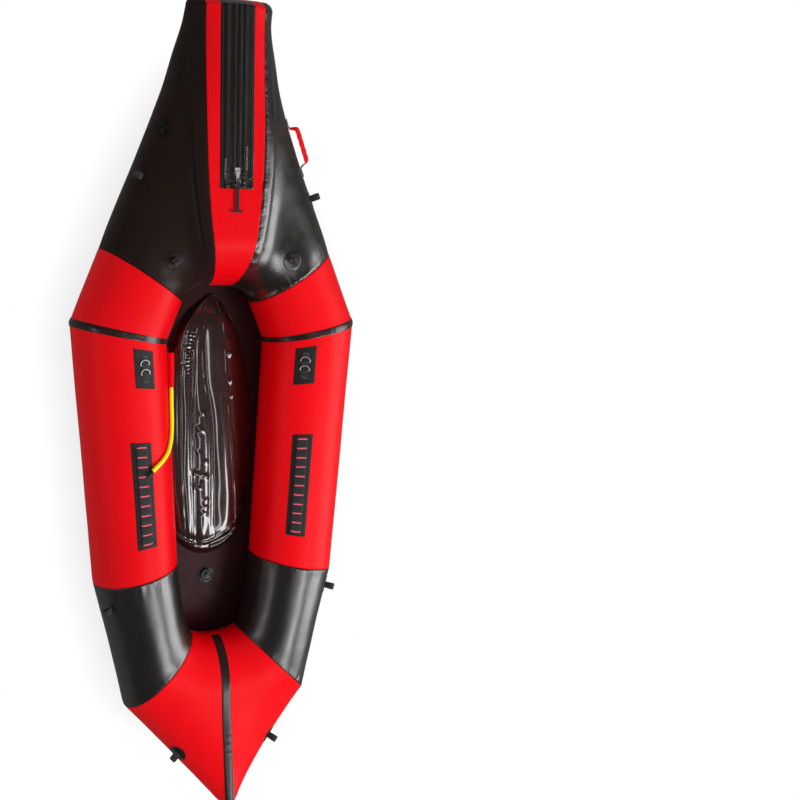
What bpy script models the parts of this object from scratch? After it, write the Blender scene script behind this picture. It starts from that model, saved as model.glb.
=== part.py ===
# A one-person packraft with a self-bailing floor and a stern zipper, built panel by panel.
# Metres, +Z up. The stern points to +Y and the bow to -Y. The hull rests on z = 0 and is
# symmetric about x = 0, apart from its valve, hose and grab handle.
import math
from collections import namedtuple

import bmesh
import bpy
from mathutils import Matrix, Vector
from mathutils.bvhtree import BVHTree

# Overall sizes
HULL_LENGTH = 2.62
HULL_WIDTH = 0.955
TUBE_DIAMETER = 0.30

# Fabric and gaps
SKIN = 0.0008
SHEET = 0.0010
TAPE = 0.0008
SEAM_GAP = 0.0003
CLEARANCE = 0.0004

# Ends of the hull
STERN_END_WIDTH = 0.275
STERN_CORNER_RADIUS = 0.028
STERN_STRIP_WIDTH = 0.19
BOW_TIP_RADIUS = 0.022
BOW_TIP_DEPTH = 0.012
STERN_CREST_DEPTH = 0.165
STERN_RISE = 0.008
STERN_FULLNESS = 0.055
BOW_RISE = 0.055
RISE_BLEND = 0.12
NOSE_DEPTH = 0.030

# Seam tapes
KNUCKLE_TAPE_WIDTH = 0.022
BOW_TAPE_WIDTH = 0.027

# Floor sheet, its drain holes and the mat in its opening
DRAIN_DIAMETER = 0.016
DRAIN_INSET = 0.016
DRAIN_PITCH = 0.095
DRAIN_REAR = 0.312
DRAINS_A_SIDE = 9
MAT_REAR = 0.435
MAT_FRONT = -0.615
MAT_INSET = 0.036
MAT_FLANGE = 0.015
MAT_FLANGE_THICKNESS = 0.0010
MAT_OPENING_GAP = 0.0015
MAT_RAISE = 0.050
MAT_DROP = 0.018
MAT_SEAM_DEPTH = 0.016
MAT_CHANNELS = 4
MAT_SHOULDER = 0.055
MAT_PAD_LENGTH = 0.110
SHEET_REAR = 0.800
SHEET_REAR_SWEEP = 0.25
SHEET_FRONT = -0.870
BELLY_MIDDLE = -1.140
BELLY_SWEEP = 0.16
CURVE_SPAN = 0.31

# Zipper along the red strip
ZIP_FRONT = 0.742
ZIP_REAR = 1.270
ZIP_TAPE_WIDTH = 0.108
ZIP_SLIT_WIDTH = 0.0030
ZIP_SLOT_WIDTH = 0.018
ZIP_SLOT_INSET = 0.018
ZIP_RAIL_WIDTH = 0.0030
ZIP_RAIL_HEIGHT = 0.0024
SLIDER_REST = 0.792
SLIDER_LENGTH = 0.026
SLIDER_WIDTH = 0.016
SLIDER_PLATE = 0.0018
SLIDER_POST_WIDTH = 0.0018
SLIDER_EAR_HEIGHT = 0.0045
SLIDER_LOWER_GAP = 0.0013
SLIDER_EAR_THICKNESS = 0.0020
PULLER_LENGTH = 0.028
PULLER_WIDTH = 0.0085
PULLER_THICKNESS = 0.0018
PULLER_TILT = 0.5
PIN_DIAMETER = 0.0018
BARREL_DIAMETER = 0.0042
STRAP_LENGTH = 0.098
STRAP_WIDTH = 0.010
STRAP_THICKNESS = 0.0020
T_BAR_LENGTH = 0.037
T_BAR_DIAMETER = 0.006

# Valves
FLANGE_DIAMETER = 0.060
FLANGE_THICKNESS = 0.0010
VALVE_LIFT = 0.0008
VALVE_BORE = 0.0268
COLLAR_DIAMETER = 0.035
COLLAR_HEIGHT = 0.0095
INSERT_BORE = 0.019
INSERT_DEPTH = 0.012
INSERT_LIP = 0.0015
LEDGE_BORE = 0.015
LEDGE_HEIGHT = 0.0012
FLAP_THICKNESS = 0.0010
CAP_DIAMETER = 0.042
CAP_WALL = 0.0022
CAP_LOBE_DEPTH = 0.0008
CAP_LOBES = 10
CAP_FOOT_GAP = 0.0030
POST_DIAMETER = 0.006
POST_HEAD_DIAMETER = 0.010
POST_HEAD_HEIGHT = 0.0012
LEASH_THICKNESS = 0.0014
LEASH_WIDTH = 0.006
LEASH_RING_WIDTH = 0.0030

# D-rings on their patches
D_PATCH_LENGTH = 0.122
D_PATCH_WIDTH = 0.070
D_WEBBING_LENGTH = 0.088
D_WEBBING_WIDTH = 0.0235
D_RING_WIDTH = 0.034
D_RING_DEPTH = 0.018
D_RING_WIRE = 0.0030
D_RING_PITCH = 0.029
D_RING_TILT = 6.0
WEBBING_THICKNESS = 0.0012
PATCH_THICKNESS = 0.0008

# Lacing strips
LACE_PATCH_LENGTH = 0.345
LACE_PATCH_WIDTH = 0.070
LACE_WEBBING_LENGTH = 0.330
LACE_WEBBING_WIDTH = 0.038
LACE_LOOPS = 10
LACE_LOOP_HEIGHT = 0.0030

# Tie-down loops
TIE_PATCH_DIAMETER = 0.062
TIE_PATCH_LIFT = 0.0010
TIE_PATCH_THICKNESS = 0.0012
TIE_LOOP_HEIGHT = 0.030
TIE_LOOP_GAP = 0.016
TIE_LOOP_WIDTH = 0.020
TIE_LOOP_THICKNESS = 0.0018

# Grab handle
HANDLE_LENGTH = 0.190
HANDLE_WIDTH = 0.026
HANDLE_THICKNESS = 0.0025
HANDLE_HEIGHT = 0.026
HANDLE_FOOT_LENGTH = 0.034
SLEEVE_LENGTH = 0.094
SLEEVE_THICKNESS = 0.0015

# Hose
HOSE_DIAMETER = 0.014
HOSE_SLEEVE_DIAMETER = 0.022
MOUTHPIECE_LENGTH = 0.028
MOUTHPIECE_DIAMETER = 0.0100

# Floor valve's place
FLOOR_VALVE_X = 0.007
FLOOR_VALVE_Y = -0.575

half_length = HULL_LENGTH / 2
half_width = HULL_WIDTH / 2
tube_radius = TUBE_DIAMETER / 2
flat_level = SHEET + SEAM_GAP

# Where the seams meet the outline, as shares of the half width and half length, the angle
# in degrees that each seam makes with the X axis in plan, and its length in tube diameters.
Seam = namedtuple("Seam", "x_share y_share angle stretch_share")
SHOULDER = Seam(0.801, 0.422, 33, 1.04)
KNUCKLE = Seam(1.0, 0.245, 11, 1.04)
QUARTER = Seam(0.866, -0.409, -12, 0.95)
BOW_SEAM = Seam(0.663, -0.738, -45, 1.10)

# Counts, tolerances and the reach of cutters
ROUND_SIDES = 20
BISECTIONS = 40
PROBE_SHARE = 0.01
MERGE = 0.000002
CUT_REACH = 0.012
FIT_GAP = 0.0005

# The outline between the stern's corner and the shoulder, and the controls of the curves
stern_outline_shares = ((0.296, 0.939), (0.334, 0.885), (0.406, 0.786), (0.586, 0.611))
quarter_outer_control_shares = (0.745, -0.582)
quarter_inner_control_shares = (0.245, -0.520)
cockpit_rear_share = 0.335
cockpit_front_share = -0.573
rear_control_share = 0.85
front_control_share = 0.60
strip_rim_share = 0.2
strip_flare = 4.5
corner_start_share = 0.1
corner_end_share = 0.3
tip_start_share = 0.9
crown_blend = 50

# Shapes of the smaller pieces, as shares of their own sizes
mat_rear_power = 2.0
mat_front_power = 2.8
mat_crown_power = 3.0
mat_drop_power = 6.0
mat_end_share = 0.8
drop_start_share = 0.1
mat_end_angle = 4
mat_row_count = 20
mat_cut_rows = 26
curve_steps = 20
drain_sides = 8
mat_steps = 5
slider_nose_share = 0.55
lower_plate_share = 0.8
post_share = 0.5
ear_share = 0.3
puller_slot_share = 0.62
puller_slot_place_share = 0.72
d_hump_shares = ((-2.6, 0.0), (-1.7, 0.45), (-0.9, 1.0), (0.9, 1.0), (1.7, 0.45), (2.6, 0.0))
d_ring_steps = 10
lace_steps = 2
lace_end_share = 0.02
tie_ring_shares = (0.34, 0.67, 1.0)
loop_shape_shares = ((-0.40, 0.0), (-0.75, 0.30), (-1.0, 0.62), (-0.88, 0.83), (-0.50, 0.97), (0.0, 1.0),
                     (0.50, 0.97), (0.88, 0.83), (1.0, 0.62), (0.75, 0.30), (0.40, 0.0))
route_steps = 12
collar_share = 0.16
tip_share = 0.8
handle_shape_shares = ((-1.0, 0.0), (-0.82, 0.0), (-0.66, 0.06), (-0.60, 0.80), (-0.54, 1.0), (0.0, 1.0),
                       (0.54, 1.0), (0.60, 0.80), (0.66, 0.06), (0.82, 0.0), (1.0, 0.0))

# The hose's route on the hull: station, turn, and height above it in its own diameters
sleeve_route_shares = ((3.055, 12, 0.536), (3.10, 15, 0.510), (3.15, 18, 0.464), (3.175, 19.5, 0.436),
                       (3.20, 21, 0.418))
hose_route_shares = ((3.2015, 21.1, 0.643), (3.26, 23, 0.575), (3.32, 25, 0.565), (3.38, 29, 0.565),
                     (3.43, 35, 0.565), (3.475, 45, 0.565), (3.505, 57, 0.60), (3.525, 67, 0.72),
                     (3.54, 74, 0.90))

# The hull is read at a station round its ring and at a turn round its tube. Station 0 is
# the stern's middle, 1 the edge of the red strip, 2 the shoulder seam, 3 the knuckle,
# 4 the quarter seam, 5 the bow seam and 6 the bow's middle. Turn 0 is the cockpit's edge,
# 90 the crest, 180 the outline and 270 the keel side.
STRIP_EDGE = 1.0
AT_SHOULDER = 2.0
AT_KNUCKLE = 3.0
AT_QUARTER = 4.0
AT_BOW_SEAM = 5.0
AT_BOW = 6.0
flat_turn = math.degrees(math.acos(1 - flat_level / tube_radius))
top_turns = [0, 15, 30, 45, 60, 75, 90, 97.5, 105, 120, 135, 150, 165, 173]
keel_turns = [180, 187, 195, 210, 225, 239, 252, 270 - flat_turn, 270 + flat_turn,
              288, 307, 320, 333, 346]
ring_turns = top_turns + keel_turns
STRIP_END_TURN = 252
SHEET_OUTER_TURN = 239
BELLY_OUTER_TURN = 195
SHEET_INNER_TURN = 307
belly_seam_share = 0.03

# Places on the hull: side, station and turn. The left side is -1.
stern_valve_place_shares = (-1, 1.75, 147)
d_patch_place_shares = {"left": (-1, 3.125, 73), "right": (1, 3.125, 69)}
lace_place_shares = {"left": (-1, 3.64, 84), "right": (1, 3.64, 73)}
handle_place_shares = (1, 1.80, 158)
tie_place_shares = {
    "deck_left": (-1, 1.86, 78),
    "deck_right": (1, 1.90, 84),
    "stern_left": (-1, 1.85, 146),
    "stern_right": (1, 1.90, 162),
    "quarter_left": (-1, 4.167, 147),
    "quarter_right": (1, 4.133, 150),
    "bow_left": (-1, 5.475, 158),
    "bow_right": (1, 5.425, 158),
}


def clear_scene():
    for old in list(bpy.data.objects):
        bpy.data.objects.remove(old, do_unlink=True)


def mix(a, b, share):
    return a + (b - a) * share


def plan(x_share, y_share):
    return Vector((x_share * half_width, y_share * half_length))


def quadratic(start, control, end, share):
    return mix(mix(start, control, share), mix(control, end, share), share)


def smooth_through(points, share):
    """A point on a Catmull-Rom curve through the points, evenly spread over them."""
    spans = len(points) - 1
    place = min(share, 1.0) * spans
    index = min(int(place), spans - 1)
    t = place - index
    p1, p2 = points[index], points[index + 1]
    p0 = points[index - 1] if index > 0 else p1 * 2 - p2
    p3 = points[index + 2] if index + 2 <= spans else p2 * 2 - p1
    a = p1 * 2
    b = p2 - p0
    c = p0 * 2 - p1 * 5 + p2 * 4 - p3
    d = p1 * 3 - p0 - p2 * 3 + p3
    return (a + b * t + c * t * t + d * t * t * t) / 2


def seam_ends(seam):
    outer = plan(seam.x_share, seam.y_share)
    angle = math.radians(seam.angle)
    inner = outer - TUBE_DIAMETER * seam.stretch_share * Vector((math.cos(angle), math.sin(angle)))
    return inner, outer


shoulder_inner, shoulder_outer = seam_ends(SHOULDER)
knuckle_inner, knuckle_outer = seam_ends(KNUCKLE)
quarter_inner, quarter_outer = seam_ends(QUARTER)
bow_inner, bow_outer = seam_ends(BOW_SEAM)
rear_middle = Vector((0.0, cockpit_rear_share * half_length))
front_middle = Vector((0.0, cockpit_front_share * half_length))
stern_corner = Vector((STERN_END_WIDTH / 2, half_length - STERN_CORNER_RADIUS))
stern_side = [stern_corner] + [plan(*pair) for pair in stern_outline_shares] + [shoulder_outer]


def inner_edge(station):
    """The cockpit's edge in plan."""
    if station <= AT_SHOULDER:
        control = Vector((shoulder_inner.x * rear_control_share, rear_middle.y))
        share = strip_rim_share * station
        if station > STRIP_EDGE:
            share = mix(strip_rim_share, 1.0, (station - STRIP_EDGE) ** 1.5)
        return quadratic(rear_middle, control, shoulder_inner, share)
    if station <= AT_KNUCKLE:
        return mix(shoulder_inner, knuckle_inner, station - AT_SHOULDER)
    if station <= AT_QUARTER:
        return mix(knuckle_inner, quarter_inner, station - AT_KNUCKLE)
    if station <= AT_BOW_SEAM:
        control = plan(*quarter_inner_control_shares)
        return quadratic(quarter_inner, control, bow_inner, station - AT_QUARTER)
    control = Vector((bow_inner.x * front_control_share, front_middle.y))
    return quadratic(bow_inner, control, front_middle, station - AT_BOW_SEAM)


def stern_outline(share):
    """The outline from the strip's edge round the stern's corner to the shoulder seam."""
    strip_corner = Vector((STERN_STRIP_WIDTH / 2, half_length))
    corner_start = Vector((stern_corner.x - STERN_CORNER_RADIUS, half_length))
    if share <= corner_start_share:
        return mix(strip_corner, corner_start, share / corner_start_share)
    if share <= corner_end_share:
        arc = (share - corner_start_share) / (corner_end_share - corner_start_share)
        angle = math.radians(90) * (1 - arc)
        reach = STERN_CORNER_RADIUS * Vector((math.cos(angle), math.sin(angle)))
        return Vector((corner_start.x, stern_corner.y)) + reach
    return smooth_through(stern_side, (share - corner_end_share) / (1 - corner_end_share))


def outer_edge(station):
    """The hull's outline in plan."""
    if station <= STRIP_EDGE:
        return Vector((station * STERN_STRIP_WIDTH / 2, half_length))
    if station <= AT_SHOULDER:
        return stern_outline(station - STRIP_EDGE)
    if station <= AT_KNUCKLE:
        return mix(shoulder_outer, knuckle_outer, station - AT_SHOULDER)
    if station <= AT_QUARTER:
        return mix(knuckle_outer, quarter_outer, station - AT_KNUCKLE)
    if station <= AT_BOW_SEAM:
        control = plan(*quarter_outer_control_shares)
        return quadratic(quarter_outer, control, bow_outer, station - AT_QUARTER)
    share = station - AT_BOW_SEAM
    tip_side = Vector((BOW_TIP_RADIUS, BOW_TIP_DEPTH - half_length))
    if share <= tip_start_share:
        return mix(bow_outer, tip_side, share / tip_start_share)
    angle = math.radians(90) * (share - tip_start_share) / (1 - tip_start_share)
    return Vector((BOW_TIP_RADIUS * math.cos(angle), tip_side.y - BOW_TIP_DEPTH * math.sin(angle)))


def flare_at(station):
    """How much faster than straight a section leaves the middle, so the strip's edges run parallel."""
    if station <= STRIP_EDGE:
        return strip_flare
    if station <= AT_SHOULDER:
        return mix(1.0, strip_flare, AT_SHOULDER - station)
    return 1.0


stern_crest_y = rear_middle.y + STERN_CREST_DEPTH
bow_crest_y = front_middle.y - min((front_middle.y + half_length) / 2, STERN_CREST_DEPTH)


def end_thickness(y):
    """Half the hull's height at y, in tube radii. It thins as an ellipse, down to the nose."""
    crest_y = stern_crest_y if y > 0 else bow_crest_y
    reach = half_length - abs(crest_y)
    out = min(max(abs(y) - abs(crest_y), 0.0), reach - NOSE_DEPTH)
    return math.sqrt(1 - (out / reach) ** 2)


def top_rise(y):
    """How far the top line has risen at y. It bends up gently, then runs straight to the tip."""
    crest_y, rise = (stern_crest_y, STERN_RISE) if y > 0 else (bow_crest_y, BOW_RISE)
    out = max(abs(y) - abs(crest_y), 0.0)
    slope = rise / (half_length - abs(crest_y) - RISE_BLEND / 2)
    if out < RISE_BLEND:
        return slope * out * out / (2 * RISE_BLEND)
    return slope * (out - RISE_BLEND / 2)


def middle_height(y):
    """Height of the surface between the tube's upper and lower halves."""
    return TUBE_DIAMETER + top_rise(y) - tube_radius * end_thickness(y)


stern_rows = [stern_outline(corner_end_share + (1 - corner_end_share) * i / 60) for i in range(61)]


def stern_half_width(y):
    """Half the stern's width at y, between its blunt end and the shoulder seam."""
    if y >= stern_corner.y:
        rise = min(y - stern_corner.y, STERN_CORNER_RADIUS)
        return stern_corner.x - STERN_CORNER_RADIUS + math.sqrt(STERN_CORNER_RADIUS ** 2 - rise ** 2)
    for upper, lower in zip(stern_rows, stern_rows[1:]):
        if lower.y <= y:
            return mix(lower.x, upper.x, (y - lower.y) / (upper.y - lower.y))
    return stern_rows[-1].x


def ease(share):
    share = min(max(share, 0.0), 1.0)
    return share * share * (3 - 2 * share)


def swell(station, turn, x, y):
    """Height off the middle surface in tube radii: round on the tubes, crowned across the stern."""
    plain = math.sin(math.radians(turn))
    folded = turn % 360 if turn % 360 <= 180 else 360 - turn % 360
    if station >= AT_SHOULDER or folded <= 90:
        return plain
    along = max(min((y - stern_crest_y) / (half_length - stern_crest_y), 1.0), 0.0)
    across = min(x / stern_half_width(y), 1.0)
    crowned = math.sqrt(1 - along ** 2) * math.sqrt(1 - across ** 2)
    weight = ease((folded - 90) / crown_blend) * ease((AT_SHOULDER - station) / (1 - corner_end_share))
    return mix(plain, math.copysign(crowned, plain), weight)


def smooth_point(side, station, turn):
    inner = inner_edge(station)
    outer = outer_edge(station)
    span = (outer - inner).length
    crest_depth = min(span / 2, STERN_CREST_DEPTH)
    angle = math.radians(turn)
    if math.cos(angle) >= 0:
        depth = crest_depth * (1 - math.cos(angle))
    else:
        depth = crest_depth - (span - crest_depth) * math.cos(angle)
    share = depth / span
    x = mix(inner.x, outer.x, 1 - max(1 - share, 0.0) ** flare_at(station))
    y = mix(inner.y, outer.y, share)
    height = swell(station, turn, x, y)
    z = middle_height(y) + tube_radius * height
    if height > 0:
        z += STERN_FULLNESS * ease(AT_SHOULDER - station) * min(height / end_thickness(y), 1.0)
    return Vector((side * x, y, z))


def hull_normal(side, station, turn):
    """The outward normal, from short steps on both sides of the point."""
    step = 0.01
    before = max(station - step, 0.0)
    after = min(station + step, AT_BOW)
    if math.isclose(station, round(station)) and 2 <= round(station) <= 5:
        before, after = station - step / 10, station + step / 10
    along = smooth_point(side, after, turn) - smooth_point(side, before, turn)
    if station < step or station > AT_BOW - step:
        along = Vector((side * (1 if station < step else -1), 0, 0))
    round_tube = smooth_point(side, station, turn + 1) - smooth_point(side, station, turn - 1)
    normal = along.cross(round_tube) * side
    return normal.normalized()


def hull_point(side, station, turn, lift=0.0):
    """A point on the hull, raised off it by lift, and flattened where it lies on the ground."""
    point = smooth_point(side, station, turn)
    if lift:
        point = point + hull_normal(side, station, turn) * lift
    point.z = max(point.z, flat_level - lift)
    return point


def inset_station(side, station, turn, towards):
    """The station half a seam gap from a seam, on the side that towards lies on."""
    step = 0.01 if towards > station else -0.01
    here = smooth_point(side, station, turn)
    there = smooth_point(side, station + step, turn)
    distance = max((there - here).length, 1e-6)
    return station + step * SEAM_GAP / 2 / distance


def inset_turn(side, station, turn, towards):
    step = 1.0 if towards > turn else -1.0
    here = smooth_point(side, station, turn)
    there = smooth_point(side, station, turn + step)
    return turn + step * SEAM_GAP / 2 / max((there - here).length, 1e-6)


def add_object(name, mesh, material):
    obj = bpy.data.objects.new(name, mesh)
    bpy.context.scene.collection.objects.link(obj)
    mesh.materials.append(material)
    return obj


def finish_mesh(name, bm):
    bmesh.ops.triangulate(bm, faces=bm.faces, quad_method="SHORT_EDGE")
    bmesh.ops.recalc_face_normals(bm, faces=bm.faces)
    mesh = bpy.data.meshes.new(name)
    bm.to_mesh(mesh)
    bm.free()
    mesh.shade_smooth()
    mesh.set_sharp_from_angle(angle=math.radians(35))
    return mesh


def sheet_body(name, rows, wall_rows, material, closed=False):
    """A closed body between two grids of points, rows outside and wall_rows inside."""
    bm = bmesh.new()
    outside = [[bm.verts.new(p) for p in row] for row in rows]
    inside = [[bm.verts.new(p) for p in row] for row in wall_rows]
    count = len(rows[0])
    columns = range(count) if closed else range(count - 1)
    for grid in (outside, inside):
        for near, far in zip(grid, grid[1:]):
            for j in columns:
                k = (j + 1) % count
                bm.faces.new((near[j], near[k], far[k], far[j]))
    for end in (0, -1):
        for j in columns:
            k = (j + 1) % count
            bm.faces.new((outside[end][j], outside[end][k], inside[end][k], inside[end][j]))
    if not closed:
        for i in range(len(rows) - 1):
            for j in (0, -1):
                bm.faces.new((outside[i][j], outside[i + 1][j], inside[i + 1][j], inside[i][j]))
    return add_object(name, finish_mesh(name, bm), material)


def signed_rows(stations, turns_at, lift):
    """Rows of hull points. A negative station is on the left, and turns_at gives each row's turns."""
    rows = []
    for side, station in stations:
        rows.append([hull_point(side, s, t, lift) for s, t in turns_at(side, station)])
    return rows


def hull_panel(name, stations, turns_at, material, closed, lift=0.0, thickness=SKIN):
    outer = signed_rows(stations, turns_at, lift + (thickness if lift > 0 else 0.0))
    inner = signed_rows(stations, turns_at, lift if lift > 0 else -thickness)
    return sheet_body(name, outer, inner, material, closed)


def between(start, end, count):
    return [mix(start, end, i / count) for i in range(count + 1)]


def ring_panel(name, side, stations, material):
    """A length of tube between two seams, open at both ends."""
    first, last = stations[0], stations[-1]

    def turns_at(row_side, station):
        row = []
        for turn in ring_turns:
            at = station
            if station == first:
                at = inset_station(row_side, station, turn, last)
            elif station == last:
                at = inset_station(row_side, station, turn, first)
            row.append((at, turn))
        return row

    return hull_panel(name, [(side, s) for s in stations], turns_at, material, closed=True)


def new_material(name, color, roughness, metallic=0.0):
    material = bpy.data.materials.new(name)
    material.use_nodes = True
    shader = material.node_tree.nodes["Principled BSDF"]
    shader.inputs["Base Color"].default_value = (*color, 1.0)
    shader.inputs["Roughness"].default_value = roughness
    shader.inputs["Metallic"].default_value = metallic
    material.diffuse_color = (*color, 1.0)
    return material


def centre_panel(name, turns, material):
    """A panel across the middle of the stern, as wide as the red strip."""
    stations = [(1, s) for s in between(STRIP_EDGE, 0.0, 3)]
    stations += [(-1, s) for s in between(0.0, STRIP_EDGE, 3)[1:]]

    def turns_at(side, station):
        row = []
        for turn in turns:
            at = station
            if station == STRIP_EDGE:
                at = inset_station(side, station, turn, 0.0)
            row.append((at, turn))
        return row

    return hull_panel(name, stations, turns_at, material, closed=False)


stern_stations = [STRIP_EDGE + s for s in (0, 0.1, 0.2, 0.3, 0.45, 0.54, 0.63, 0.72, 0.81, 0.9, 1.0)]
quarter_stations = between(AT_QUARTER, AT_BOW_SEAM, 4)
bow_stations = [AT_BOW_SEAM + s for s in (0, 0.15, 0.3, 0.45, 0.6, 0.75, 0.9, 0.95, 1.0)]
floor_stations = between(0.0, STRIP_EDGE, 3) + stern_stations[1:] + between(AT_KNUCKLE, AT_QUARTER, 2)
floor_stations += quarter_stations[1:] + bow_stations[1:]


def make_hull(red, black):
    panels = []
    for side, word in ((1, "right"), (-1, "left")):
        panels.append(ring_panel(f"stern_panel_{word}", side, stern_stations, black))
        panels.append(ring_panel(f"shoulder_panel_{word}", side, [AT_SHOULDER, AT_KNUCKLE], red))
        panels.append(ring_panel(f"side_tube_{word}", side, between(AT_KNUCKLE, AT_QUARTER, 2), red))
        panels.append(ring_panel(f"quarter_panel_{word}", side, quarter_stations, black))
        panels.append(ring_panel(f"bow_panel_{word}", side, bow_stations, red))
    return panels


def make_centre_strip(red, black):
    strip_turns = [t for t in ring_turns if t < STRIP_END_TURN]
    strip_turns.append(inset_turn(1, 0.0, STRIP_END_TURN, 0.0))
    strip = centre_panel("stern_center_strip", strip_turns, red)
    keel_turns_on = [inset_turn(1, 0.0, STRIP_END_TURN, 360.0)]
    keel_turns_on += [t for t in ring_turns if t > STRIP_END_TURN]
    keel_turns_on.append(inset_turn(1, 0.0, 360.0, 0.0))
    centre_panel("stern_keel_panel", keel_turns_on, black)
    return strip


def laid_frame(side, station, turn):
    """Axes at a place on the hull: Z out of it, Y along it towards the stern."""
    normal = hull_normal(side, station, turn)
    along = smooth_point(side, station - PROBE_SHARE, turn) - smooth_point(side, station + PROBE_SHARE, turn)
    y_axis = (along - normal * along.dot(normal)).normalized()
    x_axis = y_axis.cross(normal)
    frame = Matrix((x_axis, y_axis, normal)).transposed().to_4x4()
    frame.translation = smooth_point(side, station, turn)
    return frame


def skin_tree(objects):
    """The hull's own facets, so that what is welded to it can follow them."""
    points = []
    faces = []
    for obj in objects:
        start = len(points)
        points.extend(v.co.copy() for v in obj.data.vertices)
        faces.extend([start + i for i in face.vertices] for face in obj.data.polygons)
    return BVHTree.FromPolygons(points, faces)


def dropped(skin, frame, x, y, lift):
    """The point above the hull's skin, straight under or over a point of the frame's plane."""
    out = frame.col[2].to_3d()
    start = frame @ Vector((x, y, tube_radius / 2))
    hit = skin.ray_cast(start, -out, TUBE_DIAMETER)[0]
    return hit + out * lift


def seated_frame(skin, frame, reach):
    """The frame set level on the facets under it, so that none within reach stands above its plane."""
    rim = [dropped(skin, frame, x, y, 0.0) for x, y in round_outline(reach, 0.0, 0.0, 8)]
    inside = [dropped(skin, frame, x, y, 0.0) for x, y in round_outline(reach / 2, 0.0, 0.0, 8)]
    middle = dropped(skin, frame, 0.0, 0.0, 0.0)
    x_axis = (rim[0] - rim[4]).normalized()
    normal = x_axis.cross(rim[2] - rim[6]).normalized()
    top = max(normal.dot(place - middle) for place in rim + inside + [middle])
    seated = Matrix((x_axis, normal.cross(x_axis), normal)).transposed().to_4x4()
    seated.translation = middle + normal * top
    return seated


def turned_body(name, frame, profile, material, closed, place=None, lobes=0):
    """A profile of (radius, height, tag) turned about Z: a ring if closed, else ending on the axis."""
    bm = bmesh.new()
    rings = []
    for radius, height, tag in profile:
        if radius == 0:
            rings.append([bm.verts.new(frame @ Vector((0, 0, height)))])
            continue
        ring = []
        for i in range(ROUND_SIDES):
            angle = math.tau * i / ROUND_SIDES
            reach = radius
            if tag == "lobed":
                reach -= CAP_LOBE_DEPTH * (1 - math.cos(lobes * angle)) / 2
            x, y = reach * math.cos(angle), reach * math.sin(angle)
            if tag == "laid":
                ring.append(bm.verts.new(place(x, y, height)))
            else:
                ring.append(bm.verts.new(frame @ Vector((x, y, height))))
        rings.append(ring)
    pairs = list(zip(rings, rings[1:]))
    if closed:
        pairs.append((rings[-1], rings[0]))
    for near, far in pairs:
        for i in range(ROUND_SIDES):
            k = (i + 1) % ROUND_SIDES
            if len(near) == 1:
                bm.faces.new((near[0], far[i], far[k]))
            elif len(far) == 1:
                bm.faces.new((near[i], near[k], far[0]))
            else:
                bm.faces.new((near[i], near[k], far[k], far[i]))
    return add_object(name, finish_mesh(name, bm), material)


def prism(name, frame, outline, bottom, top, material):
    """A flat outline in the frame's XY plane, given a height."""
    rows = [[frame @ Vector((x, y, z)) for x, y in outline] for z in (bottom, top)]
    bm = bmesh.new()
    lower, upper = [[bm.verts.new(p) for p in row] for row in rows]
    for i in range(len(outline)):
        k = (i + 1) % len(outline)
        bm.faces.new((lower[i], lower[k], upper[k], upper[i]))
    bm.faces.new(lower)
    bm.faces.new(upper)
    return add_object(name, finish_mesh(name, bm), material)


def rectangle(width, length, centre_x=0.0, centre_y=0.0):
    w, h = width / 2, length / 2
    return [(centre_x + x, centre_y + y) for x, y in ((-w, -h), (w, -h), (w, h), (-w, h))]


def apply_boolean(obj, tool, operation):
    modifier = obj.modifiers.new(operation.lower(), "BOOLEAN")
    modifier.operation = operation
    modifier.object = tool
    modifier.solver = "EXACT"
    tool.hide_render = True
    tool.display_type = "WIRE"


def joined_prisms(name, parts, material):
    """Separate closed shapes in one object, used together as a cutter."""
    bm = bmesh.new()
    for part in parts:
        bm.from_mesh(part.data)
        bpy.data.objects.remove(part, do_unlink=True)
    return add_object(name, finish_mesh(name, bm), material)


def round_outline(radius, centre_x=0.0, centre_y=0.0, sides=ROUND_SIDES):
    angles = [math.tau * i / sides for i in range(sides)]
    return [(centre_x + radius * math.cos(a), centre_y + radius * math.sin(a)) for a in angles]


def lined_turns(first, last):
    """The turns between two, with the hull's own lines, so that a laid piece bends where the hull does."""
    lines = [t for t in top_turns if first < t < last]
    return [first] + lines + [last]


def hull_strip(name, side, station, turns, length, lift, thickness, material, humps=None):
    """A strip that follows the side tube, from its two edge turns and its length."""
    start = smooth_point(side, station, turns[0])
    span = (smooth_point(side, station + PROBE_SHARE, turns[0]) - start).length
    half = length / 2 * PROBE_SHARE / span
    places = [(0.0, 0.0)] + humps + [(1.0, 0.0)] if humps else [(0.0, 0.0), (1.0, 0.0)]
    columns = lined_turns(*turns)
    rows, wall_rows = [], []
    for share, rise in places:
        at = mix(station + half, station - half, share)
        rows.append([hull_point(side, at, t, lift + thickness + rise) for t in columns])
        wall_rows.append([hull_point(side, at, t, lift + rise) for t in columns])
    return sheet_body(name, rows, wall_rows, material)


def arc_turns(width):
    return math.degrees(width / tube_radius)


def make_tapes(black):
    for side, word in ((1, "right"), (-1, "left")):
        turns = [t - 360 for t in keel_turns if t > 310] + top_turns + [t for t in keel_turns if t < 236]
        span = (smooth_point(side, AT_KNUCKLE + PROBE_SHARE, 90) - smooth_point(side, AT_KNUCKLE, 90)).length
        after = KNUCKLE_TAPE_WIDTH / 2 * PROBE_SHARE / span
        span = (smooth_point(side, AT_KNUCKLE - PROBE_SHARE, 90) - smooth_point(side, AT_KNUCKLE, 90)).length
        before = KNUCKLE_TAPE_WIDTH / 2 * PROBE_SHARE / span
        stations = [AT_KNUCKLE - before, AT_KNUCKLE, AT_KNUCKLE + after]
        hull_panel(f"knuckle_tape_{word}", [(side, s) for s in stations],
                   lambda row_side, station: [(station, t) for t in turns], black, False, SEAM_GAP, TAPE)
    make_bow_tape(black)


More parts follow.
